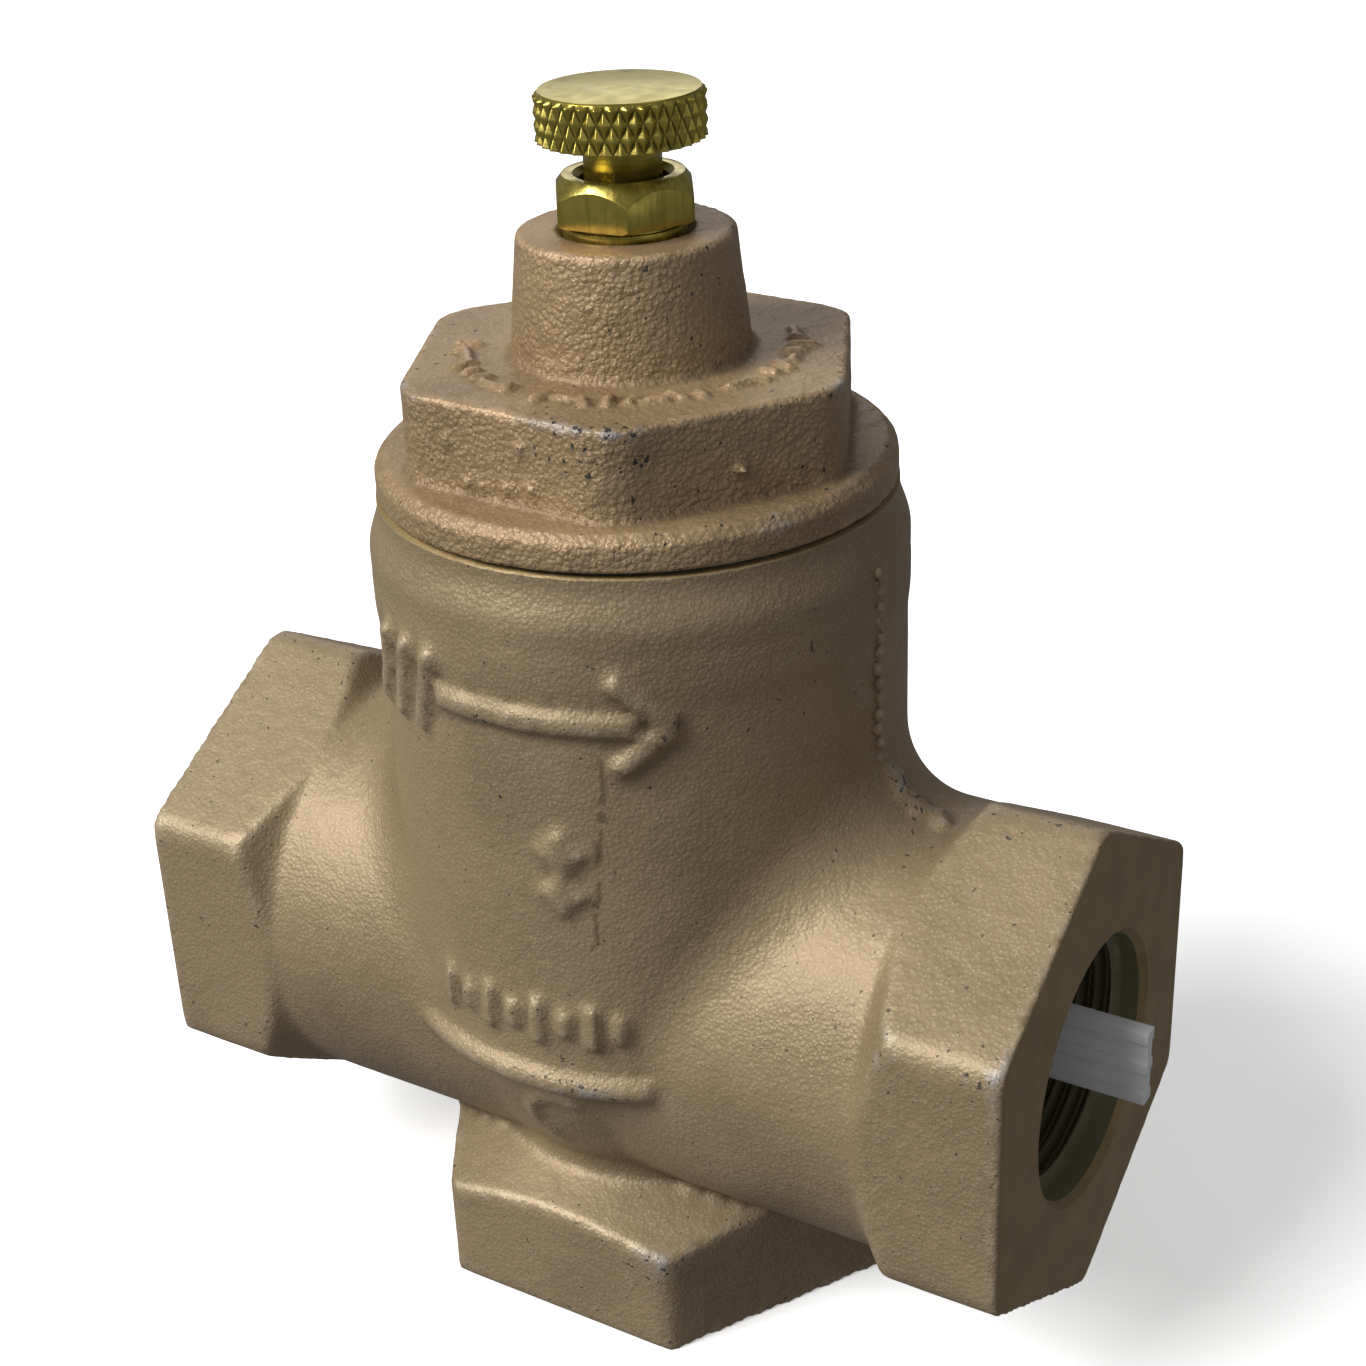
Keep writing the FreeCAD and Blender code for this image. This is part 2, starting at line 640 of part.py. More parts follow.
# --- Check disc, which lifts off the seat ----------------------------------------------------------
def check_disc():
    """The disc's guide, clamp washer, soft seal, holder, weight and the cap that the stem lifts by."""
    spigot_hole = "spigot_radius + thread_gap"
    holder = lathe(
        "disc_holder",
        (spigot_hole, SEAL_TOP),
        ("seal_radius + thread_gap", SEAL_TOP),
        ("seal_radius + thread_gap", RIM_UNDERSIDE),
        ("disc_rim_radius", RIM_UNDERSIDE),
        ("disc_rim_radius", f"{PLATE_TOP} - disc_bevel"),
        ("disc_rim_radius - disc_bevel", PLATE_TOP),
        (spigot_hole, PLATE_TOP),
    )
    weight = lathe(
        "disc_weight",
        (spigot_hole, PLATE_TOP),
        ("weight_radius", PLATE_TOP),
        ("weight_radius", f"{WEIGHT_TOP} - disc_bevel"),
        ("weight_radius - disc_bevel", WEIGHT_TOP),
        ("cap_thread_radius + thread_gap", WEIGHT_TOP),
        ("cap_thread_radius + thread_gap", CAP_UNDERSIDE),
        ("cage_radius", CAP_UNDERSIDE),
        ("cage_radius", CAGE_FLOOR),
        (spigot_hole, CAGE_FLOOR),
    )
    cap = lathe(
        "disc_cap",
        ("stem_radius + running_gap", CAP_UNDERSIDE),
        ("cap_thread_radius", CAP_UNDERSIDE),
        ("cap_thread_radius", WEIGHT_TOP),
        ("cap_head_radius", WEIGHT_TOP),
        ("cap_head_radius", f"{CAP_TOP} - disc_bevel"),
        ("cap_head_radius - disc_bevel", CAP_TOP),
        ("stem_radius + running_gap", CAP_TOP),
    )
    seal = ring("seat_disc", spigot_hole, "seal_radius", SEAT_LIP, SEAL_TOP)
    clamp = ring("clamp_washer", spigot_hole, "clamp_washer_radius", CLAMP_BOTTOM, SEAT_LIP)
    return [holder, weight, cap, seal, clamp, disc_guide()]


def disc_guide():
    """Four wings that slide in the seat ring's bore, under a threaded spigot."""
    spindle = lathe(
        "guide_spindle",
        ("0", GUIDE_FLANGE_BOTTOM),
        ("guide_flange_radius", GUIDE_FLANGE_BOTTOM),
        ("guide_flange_radius", CLAMP_BOTTOM),
        ("spigot_radius", CLAMP_BOTTOM),
        ("spigot_radius", f"{CAGE_FLOOR} - axial_gap"),
        ("0", f"{CAGE_FLOOR} - axial_gap"),
    )
    blades = []
    for name, angle in (("guide_blade_one", 45), ("guide_blade_two", -45)):
        blade = primitive("Box", name, Length="2 * seat_bore_radius", Width="guide_wing_thickness",
                          Height="guide_wing_length")
        # the blade is turned about its own corner, so its corner stands where its middle meets the axis
        blade.Placement.Rotation = App.Rotation(App.Vector(0, 0, 1), angle)
        side = 1 if angle > 0 else -1
        place(
            blade,
            x=f"(-seat_bore_radius + {side} * guide_wing_thickness / 2) / sqrt(2)",
            y=f"(-{side} * seat_bore_radius - guide_wing_thickness / 2) / sqrt(2)",
            z=WING_BOTTOM,
        )
        blades.append(blade)
    bounds = primitive("Cylinder", "guide_bounds", Radius="seat_bore_radius - running_gap", Height=BEYOND)
    wings = common("guide_wings", joined("guide_blades", *blades), bounds)
    return joined("disc_guide", spindle, wings)


# --- Plastic strip ----------------------------------------------------------------------------------
def shipping_strip():
    """Ribbed plastic strip laid through the right port, its inner end nipped under the check disc."""
    start = "(seat_flange_radius + axial_gap)"
    bottom = f"({DECK_TOP} + running_gap)"
    top = f"({RIM_UNDERSIDE} - axial_gap)"
    reach = f"({PORT_FACE} + strip_reach) - {start}"
    plate = primitive("Box", "strip_plate", Length=reach, Width="strip_thickness",
                      Height=f"{top} - {bottom}")
    place(plate, x=start, y="-strip_thickness / 2", z=bottom)
    parts = [plate]
    for name, low in (
        ("strip_rib_low", bottom),
        ("strip_rib_mid", f"({bottom} + {top} - strip_rib_width) / 2"),
        ("strip_rib_high", f"{top} - strip_rib_width"),
    ):
        rib = primitive("Box", name, Length=reach, Width="strip_thickness + 2 * strip_rib",
                        Height="strip_rib_width")
        parts.append(place(rib, x=start, y="-strip_thickness / 2 - strip_rib", z=low))
    return joined("shipping_strip", *parts)


# --- Build, check and write ---------------------------------------------------------------------------
nodes = [
    valve_body(),
    seat_ring(),
    bonnet(),
    *sealing_pieces(),
    gland_nut(),
    *stem_and_knob(),
    lift_washer(),
    *check_disc(),
    shipping_strip(),
]
doc.recompute()

for obj in doc.Objects:
    if "Invalid" in obj.State or "Error" in obj.State:
        raise RuntimeError(f"{obj.Name} did not rebuild: {obj.State}")
for node in nodes:
    shape = node.Shape
    if shape.isNull() or not shape.isValid() or len(shape.Solids) != 1:
        raise RuntimeError(f"{node.Label} is not one valid solid")

os.makedirs("parts", exist_ok=True)
for node in nodes:
    node.Shape.exportStep(f"parts/{node.Label}.step")
    print(f"{node.Label}: {node.Shape.Volume / 1000:.2f} cm3")
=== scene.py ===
"""Looks of a cast bronze flow-check valve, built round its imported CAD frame.

The origin is the centre of the bottom port's face, +Z runs up the stem and +X out of the right port. Shapes are
worked in millimetres and finished in metres.
"""
import math

import bmesh
import bpy
import numpy as np
from mathutils import Matrix, Vector, noise
from mathutils.bvhtree import BVHTree


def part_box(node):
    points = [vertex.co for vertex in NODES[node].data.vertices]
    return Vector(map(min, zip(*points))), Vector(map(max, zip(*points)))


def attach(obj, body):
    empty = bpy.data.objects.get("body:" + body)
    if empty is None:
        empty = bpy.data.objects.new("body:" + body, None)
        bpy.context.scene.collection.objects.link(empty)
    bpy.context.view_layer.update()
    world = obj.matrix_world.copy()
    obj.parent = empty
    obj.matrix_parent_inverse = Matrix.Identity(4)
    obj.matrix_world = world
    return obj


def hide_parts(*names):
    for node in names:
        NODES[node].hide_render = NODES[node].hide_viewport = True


bl_info = {
    "name": "Flow-check valve",
    "version": (1, 0, 0),
    "blender": (4, 5, 0),
    "location": "3D View > Sidebar > Valve",
    "description": "Builds the castings, brass fittings and studio of a flow-check valve on its CAD frame",
    "category": "Object",
}

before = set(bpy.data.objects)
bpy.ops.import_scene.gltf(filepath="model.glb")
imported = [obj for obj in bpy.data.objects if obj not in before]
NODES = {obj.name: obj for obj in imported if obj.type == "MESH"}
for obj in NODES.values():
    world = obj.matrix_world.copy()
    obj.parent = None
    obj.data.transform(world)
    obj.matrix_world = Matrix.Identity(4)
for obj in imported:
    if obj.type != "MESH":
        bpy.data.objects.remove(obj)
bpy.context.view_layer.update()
MM = 0.001


def reach(node):
    """A CAD node's lowest and highest corner, in millimetres."""
    low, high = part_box(node)
    return low / MM, high / MM


BODY_HIGH = reach("valve_body")[1]
BONNET_HIGH = reach("bonnet")[1]
KNOB_HIGH = reach("knob")[1]
PORT_FACE = BODY_HIGH.x
RUN_HEIGHT = 40.5      # height of the left and right ports' axis
BARREL = 31.8          # radius of the upright barrel
SHOULDER = 32.0        # radius of the shoulder that eases into the neck
NECK = 30.7            # radius of the neck that the bonnet sits on
NECK_FOOT, NECK_TOP = 97.0, 104.3
BORE = 16.5            # radius of the ports' bores
RING = 18.4            # radius of the turned ring round each bore
SIDE_DEPTH = 18.6      # depth of the left and right ports' turned walls
BOTTOM_DEPTH = 14.6    # depth of the bottom port's turned wall
THREAD_START = 2.3     # how far inside a port's face its thread begins
BORE_ROOM = 1.0        # how far the cast wall stands behind the turned wall
FACE_BAND = 0.5        # a point this near a port's face, and facing out, belongs to the face
FACE_DROP = 0.02       # how far a casting's face lies under the turned ring
BLEND = 9.9            # radius of the blend between the barrel and the outlet, and its centre below
BLEND_X, BLEND_Z = 41.8, 78.4
KNURL_LOW, KNURL_HIGH = KNOB_HIGH.z - 5.45, KNOB_HIGH.z - 0.65
KNURL_ROWS = 3

# where wrenches and handling have bruised the castings: (place, size, strength)
BODY_WEAR = (
    ((57, -28, 56.7), 4.0, 0.7),
    ((16, -28, 12.5), 4.0, 0.7),
    ((7.5, -30.5, 39.2), 3.5, 1.0),
    ((45, -28, 56), 2.5, 0.5),
    ((13, -27.5, 33), 3.0, 0.5),
    ((35.5, 0, 71.5), 5.0, 0.9),
)
BONNET_WEAR = (
    ((12.2, -25.2, 120.6), 5.0, 0.8),
    ((15.9, -23.3, 117.5), 2.2, 1.3),
    ((14.0, -24.5, 112.5), 1.8, 1.1),
    ((5.0, -25.0, 120.6), 4.0, 0.5),
    ((-15.7, -23.5, 120.5), 3.0, 0.7),
    ((28.0, -2.5, 119.5), 3.0, 0.7),
    ((27.0, -14.0, 110.0), 2.5, 0.7),
)
# grains of sand that stuck to the bonnet's front flats
PIMPLES = ((-4.2, -24.8, 112.0), (-0.8, -25.0, 112.3), (2.4, -25.2, 112.7), (-6.2, -24.6, 111.9),
           (-9.1, -24.4, 116.3), (1.4, -25.2, 117.1), (22.0, -13.2, 114.0))


def linear(hex_colour):
    """An sRGB hex colour as linear RGBA."""
    parts = [int(hex_colour[i:i + 2], 16) / 255 for i in (1, 3, 5)]
    return (*[p / 12.92 if p <= 0.04045 else ((p + 0.055) / 1.055) ** 2.4 for p in parts], 1.0)


# --- Settings -------------------------
LENGTH = {"precision": 6, "subtype": "DISTANCE", "unit": "LENGTH"}
COLOUR = {"subtype": "COLOR", "size": 4, "min": 0.0, "max": 1.0}


class ValveCasting(bpy.types.PropertyGroup):
    """Sizes of the sand castings' surface."""

    body_grid: bpy.props.FloatProperty(
        name="Body grid", description="Size of the facets that the body casting is remade from",
        default=0.74 * MM, min=0.5 * MM, max=3.0 * MM, **LENGTH)
    bonnet_grid: bpy.props.FloatProperty(
        name="Bonnet grid", description="Size of the facets that the bonnet casting is remade from",
        default=0.5 * MM, min=0.4 * MM, max=3.0 * MM, **LENGTH)
    mark_height: bpy.props.FloatProperty(
        name="Mark height", description="How far the raised cast marks stand out",
        default=1.2 * MM, min=0.0, max=2.0 * MM, **LENGTH)
    sand_wave: bpy.props.FloatProperty(
        name="Sand wave", description="How far the sand mould's waviness moves the surface",
        default=0.06 * MM, min=0.0, max=0.5 * MM, **LENGTH)


class ValveBrass(bpy.types.PropertyGroup):
    """Sizes of the turned brass and of the cut threads."""

    diamonds: bpy.props.IntProperty(
        name="Knurl diamonds", description="Diamonds round the knob's rim", default=34, min=12, max=90)
    knurl_depth: bpy.props.FloatProperty(
        name="Knurl depth", description="Depth of the knurl's grooves before their edges wear",
        default=0.7 * MM, min=0.05 * MM, max=1.2 * MM, **LENGTH)
    thread_pitch: bpy.props.FloatProperty(
        name="Thread pitch", description="Pitch of the pipe threads in the ports",
        default=2.209 * MM, min=1.0 * MM, max=4.0 * MM, **LENGTH)
    thread_depth: bpy.props.FloatProperty(
        name="Thread depth", description="Height of the pipe threads' ridge",
        default=1.45 * MM, min=0.5 * MM, max=2.5 * MM, **LENGTH)


class ValveColours(bpy.types.PropertyGroup):
    """Colours of the finishes."""

    body: bpy.props.FloatVectorProperty(
        name="Body", description="Sand-cast bronze of the body", default=linear("#937E61"), **COLOUR)
    bonnet: bpy.props.FloatVectorProperty(
        name="Bonnet", description="Redder sand-cast bronze of the bonnet", default=linear("#9A8161"), **COLOUR)
    brass: bpy.props.FloatVectorProperty(
        name="Brass", description="Turned yellow brass of the knob and nut", default=linear("#BDAC55"), **COLOUR)
    floor: bpy.props.FloatVectorProperty(
        name="Floor", description="The studio's floor", default=linear("#FCFCFB"), **COLOUR)


# --- Node helpers ---------------------
def feed(tree, node, inputs):
    """Sets a node's inputs, or links them to other nodes' outputs."""
    for name, source in inputs.items():
        if isinstance(source, bpy.types.NodeSocket):
            tree.links.new(source, node.inputs[name])
        else:
            node.inputs[name].default_value = source


def add_node(tree, kind, output=0, inputs=None, **settings):
    """Adds a node, sets its settings, feeds its inputs, and gives back one output."""
    made = tree.nodes.new(kind)
    for name, setting in settings.items():
        setattr(made, name, setting)
    feed(tree, made, inputs or {})
    return made.outputs[output] if made.outputs else None


def new_material(name):
    """An empty material, its nodes and its Principled shader, already joined to the output."""
    material = bpy.data.materials.new(name)
    material.use_nodes = True
    tree = material.node_tree
    tree.nodes.clear()
    surface = add_node(tree, "ShaderNodeBsdfPrincipled")
    add_node(tree, "ShaderNodeOutputMaterial", inputs={"Surface": surface})
    return material, tree, surface.node


def per_metre(size_mm):
    """The texture scale that gives lumps of this size on Object coordinates in metres."""
    return 1.0 / (size_mm * MM)


# --- Materials ------------------------
def sand_cast_bronze(name, base, deep, pale, grain_mm, bite_mm, specks, bruise):
    """Bronze from a sand mould, shot-blasted and left bare: soft metallic sheen over a fine sandy grain.

    Edges are made paler, partly as handling wear and partly as a painted highlight, and hollows hold darker oxide,
    both read from the casting's "edge" attribute. Grains of burnt sand stay as dark specks, most of them along the
    edges.
    Wrenches leave bruises where "wear" says so.
    """
    material, tree, shader = new_material(name)

    # the surface: where it is, what shape it has there, and its grains, swells, stains and burnt sand
    place = add_node(tree, "ShaderNodeTexCoord", "Object")
    edge = add_node(tree, "ShaderNodeAttribute", "Fac", attribute_name="edge")
    wear = add_node(tree, "ShaderNodeAttribute", "Fac", attribute_name="wear")
    facing = add_node(tree, "ShaderNodeNewGeometry", "Normal")
    cell = add_node(tree, "ShaderNodeTexVoronoi", "Distance",
                    inputs={"Vector": place, "Scale": per_metre(grain_mm)}, feature="F1")
    round_grain = add_node(tree, "ShaderNodeMapRange", inputs={"Value": cell, 1: 0.0, 2: 0.9, 3: 0.7, 4: 0.0})
    grit = add_node(tree, "ShaderNodeTexNoise",
                    inputs={"Vector": place, "Scale": per_metre(grain_mm * 0.45), "Detail": 2.0,
                            "Roughness": 0.6})
    fine = add_node(tree, "ShaderNodeMath", inputs={0: grit, 1: 0.6, 2: round_grain}, operation="MULTIPLY_ADD")
    coarse = add_node(tree, "ShaderNodeTexNoise",
                      inputs={"Vector": place, "Scale": per_metre(grain_mm * 4), "Detail": 2.0})
    cloud = add_node(tree, "ShaderNodeTexNoise",
                     inputs={"Vector": place, "Scale": per_metre(18.0), "Detail": 2.0})
    speck = add_node(tree, "ShaderNodeTexNoise",
                     inputs={"Vector": place, "Scale": per_metre(grain_mm * 1.5), "Detail": 1.0})
    cluster = add_node(tree, "ShaderNodeTexNoise",
                       inputs={"Vector": place, "Scale": per_metre(7.0), "Detail": 1.0})

    # tone: a stain, paler grains, dark hollows, and edges made paler, partly as handling wear and partly as a
    # painted highlight
    stain = add_node(tree, "ShaderNodeMapRange", inputs={"Value": cloud, 1: 0.4, 2: 0.7, 3: 0.0, 4: 0.4})
    tone = add_node(tree, "ShaderNodeMix", 2, {0: stain, 6: base, 7: linear(deep)}, data_type="RGBA")
    lit_grain = add_node(tree, "ShaderNodeMapRange",
                         inputs={"Value": fine, 1: 0.72, 2: 1.0, 3: 0.0, 4: 0.6})
    tone = add_node(tree, "ShaderNodeMix", 2, {0: lit_grain, 6: tone, 7: linear(pale)}, data_type="RGBA")
    hollow = add_node(tree, "ShaderNodeMapRange", inputs={"Value": edge, 1: -0.03, 2: -0.14, 3: 0.0, 4: 0.8})
    tone = add_node(tree, "ShaderNodeMix", 2, {0: hollow, 6: tone, 7: linear(deep)}, data_type="RGBA")
    proud = add_node(tree, "ShaderNodeMapRange", inputs={"Value": edge, 1: 0.02, 2: 0.11, 3: 0.0, 4: 1.0})
    # the paler edges are partly handling wear and partly a painted highlight
    worn_edge_highlight = add_node(tree, "ShaderNodeMapRange",
                      inputs={"Value": coarse, 1: 0.4, 2: 0.65, 3: 0.05, 4: 0.5})
    worn_edge_highlight = add_node(tree, "ShaderNodeMath", inputs={0: worn_edge_highlight, 1: proud}, operation="MULTIPLY")
    tone = add_node(tree, "ShaderNodeMix", 2, {0: worn_edge_highlight, 6: tone, 7: linear(pale)}, data_type="RGBA")

    # bruises on the worn edges, and burnt sand that crowds on edges, in bruises and in clusters
    bruised = add_node(tree, "ShaderNodeMapRange",
                       inputs={"Value": coarse, 1: 0.42, 2: 0.58, 3: 0.0, 4: bruise})
    bruised = add_node(tree, "ShaderNodeMath", inputs={0: bruised, 1: wear}, operation="MULTIPLY")
    bruised = add_node(tree, "ShaderNodeMath", inputs={0: bruised, 1: proud}, operation="MULTIPLY")
    tone = add_node(tree, "ShaderNodeMix", 2, {0: bruised, 6: tone, 7: linear("#858C93")},
                    data_type="RGBA")
    sanded = speck
    for cause, low, high, least, most in ((proud, 0.0, 0.5, 0.0, 0.05), (wear, 0.0, 1.0, 0.0, 0.11),
                                          (cluster, 0.35, 0.7, -0.03, 0.04)):
        crowd = add_node(tree, "ShaderNodeMapRange", inputs={"Value": cause, 1: low, 2: high, 3: least, 4: most})
        sanded = add_node(tree, "ShaderNodeMath", inputs={0: sanded, 1: crowd}, operation="ADD")
    dark = add_node(tree, "ShaderNodeMapRange", inputs={"Value": sanded, 1: 0.755, 2: 0.785, 3: 0.0, 4: specks})
    tone = add_node(tree, "ShaderNodeMix", 2, {0: dark, 6: tone, 7: linear("#2C2A29")}, data_type="RGBA")

    # gloss and relief
    rough = add_node(tree, "ShaderNodeMapRange", inputs={"Value": proud, 1: 0.0, 2: 0.8, 3: 0.52, 4: 0.46})
    swell = add_node(tree, "ShaderNodeBump", inputs={"Height": coarse, "Distance": bite_mm * 1.5 * MM})
    # metal fed down from above packs less sand into the faces that look up, so they come out smoother
    level = add_node(tree, "ShaderNodeSeparateXYZ", "Z", {"Vector": facing})
    bite = add_node(tree, "ShaderNodeMapRange", inputs={"Value": level, 1: 0.45, 2: 0.9, 3: 1.0, 4: 0.4})
    sand = add_node(tree, "ShaderNodeBump",
                    inputs={"Strength": bite, "Height": fine, "Distance": bite_mm * MM, "Normal": swell})
    pit = add_node(tree, "ShaderNodeBump",
                   inputs={"Height": dark, "Distance": bite_mm * 0.6 * MM, "Normal": sand}, invert=True)
    feed(tree, shader, {"Base Color": tone, "Roughness": rough, "Metallic": 0.3, "Normal": pit})
    return material


def body_bronze(colours):
    """The body's melt, in fine sand."""
    return sand_cast_bronze("sand_cast_bronze", colours.body, "#66543A", "#B3A287",
                            grain_mm=0.5, bite_mm=0.09, specks=0.75, bruise=0.7)


def bonnet_bronze(colours):
    """A redder melt in coarser sand, with more wrench wear on its corners."""
    return sand_cast_bronze("coarse_cast_bronze", colours.bonnet, "#654C33", "#C8AA86",
                            grain_mm=0.65, bite_mm=0.24, specks=0.9, bruise=0.95)


def faced_bronze(name, colour, stain_colour):
    """Cast bronze faced on a lathe and dulled by handling: a flat brown tone with little sheen."""
    material, tree, shader = new_material(name)
    place = add_node(tree, "ShaderNodeTexCoord", "Object")
    fine = add_node(tree, "ShaderNodeTexNoise", inputs={"Vector": place, "Scale": per_metre(0.5), "Detail": 2.0})
    cloud = add_node(tree, "ShaderNodeTexNoise", inputs={"Vector": place, "Scale": per_metre(6.0), "Detail": 3.0})
    stain = add_node(tree, "ShaderNodeMapRange", inputs={"Value": cloud, 1: 0.35, 2: 0.65, 3: 0.0, 4: 0.6})
    tone = add_node(tree, "ShaderNodeMix", 2, {0: stain, 6: linear(colour), 7: linear(stain_colour)},
                    data_type="RGBA")
    rough = add_node(tree, "ShaderNodeMapRange", inputs={"Value": fine, 1: 0.3, 2: 0.7, 3: 0.45, 4: 0.6})
    sand = add_node(tree, "ShaderNodeBump", inputs={"Height": fine, "Distance": 0.08 * MM})
    feed(tree, shader, {"Base Color": tone, "Roughness": rough, "Metallic": 0.4, "Normal": sand})
    return material


def cut_bronze(name, pale, dull):
    """Bronze cut inside a port, smooth and still oily: a dark greenish metal."""
    material, tree, shader = new_material(name)
    place = add_node(tree, "ShaderNodeTexCoord", "Object")
    cloud = add_node(tree, "ShaderNodeTexNoise", inputs={"Vector": place, "Scale": per_metre(2.5), "Detail": 3.0})
    tone = add_node(tree, "ShaderNodeMix", 2, {0: cloud, 6: linear(pale), 7: linear(dull)},
                    data_type="RGBA")
    rough = add_node(tree, "ShaderNodeMapRange", inputs={"Value": cloud, 1: 0.3, 2: 0.7, 3: 0.3, 4: 0.5})
    skin = add_node(tree, "ShaderNodeBump", inputs={"Height": cloud, "Distance": 0.04 * MM})
    feed(tree, shader, {"Base Color": tone, "Roughness": rough, "Metallic": 0.5, "Normal": skin})
    return material


# the tool's rings are 0.1 mm apart, too fine to see, and are drawn 0.25 mm apart so that they stretch the light
TOOL_RINGS = (300.0, 300.0, per_metre(0.25))
DIE_LINES = (per_metre(0.45), per_metre(0.45), per_metre(12.0))


def turned_brass(name, colour, shade, rough_low, line_scale):
    """Free-cutting brass from the lathe: bright, with handling smears and fine lines.

    The lines are the tool's rings on turned work and the drawing die's lines along the flats of bar stock. Grooves,
    read from the "edge" attribute, are darker.
    """
    material, tree, shader = new_material(name)
    place = add_node(tree, "ShaderNodeTexCoord", "Object")
    edge = add_node(tree, "ShaderNodeAttribute", "Fac", attribute_name="edge")
    squeeze = add_node(tree, "ShaderNodeMapping", inputs={"Vector": place, "Scale": line_scale})
    lines = add_node(tree, "ShaderNodeTexNoise", inputs={"Vector": squeeze, "Scale": 1.0, "Detail": 1.0})
    smear = add_node(tree, "ShaderNodeTexNoise", inputs={"Vector": place, "Scale": per_metre(2.2), "Detail": 3.0})
    stain = add_node(tree, "ShaderNodeMapRange", inputs={"Value": smear, 1: 0.35, 2: 0.7, 3: 0.0, 4: 0.6})
    tone = add_node(tree, "ShaderNodeMix", 2, {0: stain, 6: colour, 7: linear(shade)}, data_type="RGBA")
    streak = add_node(tree, "ShaderNodeMapRange", inputs={"Value": lines, 1: 0.5, 2: 0.75, 3: 0.0, 4: 0.5})
    tone = add_node(tree, "ShaderNodeMix", 2, {0: streak, 6: tone, 7: linear(shade)}, data_type="RGBA")
    # the grooves are darker
    darker_grooves = add_node(tree, "ShaderNodeMapRange", inputs={"Value": edge, 1: -0.01, 2: -0.09, 3: 0.0, 4: 0.85})
    tone = add_node(tree, "ShaderNodeMix", 2, {0: darker_grooves, 6: tone, 7: linear("#3B3416")}, data_type="RGBA")
    rough = add_node(tree, "ShaderNodeMapRange",
                     inputs={"Value": smear, 1: 0.3, 2: 0.7, 3: rough_low, 4: rough_low + 0.12})
    cut = add_node(tree, "ShaderNodeBump", inputs={"Height": lines, "Distance": 0.012 * MM})
    feed(tree, shader, {"Base Color": tone, "Roughness": rough, "Metallic": 0.88, "Normal": cut})
    return material


def drawn_steel():
    """Cold-drawn steel wire: grey, with fine lines from the die."""
    material, tree, shader = new_material("drawn_steel")
    place = add_node(tree, "ShaderNodeTexCoord", "Object")
    lines = add_node(tree, "ShaderNodeTexNoise", inputs={"Vector": place, "Scale": per_metre(0.3), "Detail": 1.0})
    tone = add_node(tree, "ShaderNodeMix", 2, {0: lines, 6: linear("#8C8E92"), 7: linear("#6C6E72")},
                    data_type="RGBA")
    rough = add_node(tree, "ShaderNodeMapRange", inputs={"Value": lines, 1: 0.3, 2: 0.7, 3: 0.25, 4: 0.4})
    feed(tree, shader, {"Base Color": tone, "Roughness": rough, "Metallic": 1.0})
    return material


def soft_seal(name, colour, fleck_colour, rough_middle):
    """Pressed fibre, braid or rubber: matt, with flecks of filler."""
    material, tree, shader = new_material(name)
    place = add_node(tree, "ShaderNodeTexCoord", "Object")
    fleck = add_node(tree, "ShaderNodeTexNoise", inputs={"Vector": place, "Scale": per_metre(0.7), "Detail": 3.0})
    share = add_node(tree, "ShaderNodeMapRange", inputs={"Value": fleck, 1: 0.45, 2: 0.7, 3: 0.0, 4: 1.0})
    tone = add_node(tree, "ShaderNodeMix", 2, {0: share, 6: linear(colour), 7: linear(fleck_colour)},
                    data_type="RGBA")
    rough = add_node(tree, "ShaderNodeMapRange",
                     inputs={"Value": fleck, 1: 0.3, 2: 0.7, 3: rough_middle - 0.08, 4: rough_middle + 0.08})
    press = add_node(tree, "ShaderNodeBump", inputs={"Height": fleck, "Distance": 0.06 * MM})
    feed(tree, shader, {"Base Color": tone, "Roughness": rough, "Normal": press})
    return material


def extruded_plastic():
    """Clear extruded polyethylene: milky, with faint draw lines along its length."""
    material, tree, shader = new_material("extruded_plastic")
    place = add_node(tree, "ShaderNodeTexCoord", "Object")
    along = add_node(tree, "ShaderNodeMapping",
                     inputs={"Vector": place, "Scale": (20.0, per_metre(1.6), per_metre(1.6))})
    lines = add_node(tree, "ShaderNodeTexNoise", inputs={"Vector": along, "Scale": 1.0, "Detail": 2.0})
    tone = add_node(tree, "ShaderNodeMix", 2, {0: lines, 6: linear("#F4F5F7"), 7: linear("#DDDEE1")},
                    data_type="RGBA")
    rough = add_node(tree, "ShaderNodeMapRange", inputs={"Value": lines, 1: 0.3, 2: 0.7, 3: 0.16, 4: 0.34})
    drawn = add_node(tree, "ShaderNodeBump", inputs={"Height": lines, "Distance": 0.004 * MM})
    feed(tree, shader, {"Base Color": tone, "Roughness": rough,
                        "IOR": 1.51, "Transmission Weight": 0.15, "Normal": drawn})
    return material


# --- Mesh helpers ---------------------
def cad_copy(node):
    """A CAD node's shape with its loose triangles merged, in millimetres."""
    shape = bmesh.new()
    shape.from_mesh(NODES[node].data)
    bmesh.ops.scale(shape, vec=(1 / MM,) * 3, verts=shape.verts)
    bmesh.ops.remove_doubles(shape, verts=shape.verts, dist=0.0005)
    return shape


def as_object(shape, name):
    """Turns a shape in millimetres into a linked object in metres."""
    bmesh.ops.scale(shape, vec=(MM,) * 3, verts=shape.verts)
    mesh = bpy.data.meshes.new(name)
    shape.to_mesh(mesh)
    shape.free()
    obj = bpy.data.objects.new(name, mesh)
    bpy.context.scene.collection.objects.link(obj)
    return obj


def bake_modifiers(obj):
    """Replaces the object's mesh by what its modifiers make of it."""
    graph = bpy.context.evaluated_depsgraph_get()
    made = bpy.data.meshes.new_from_object(obj.evaluated_get(graph))
    obj.modifiers.clear()
    old, obj.data = obj.data, made
    bpy.data.meshes.remove(old)
    made.name = obj.name


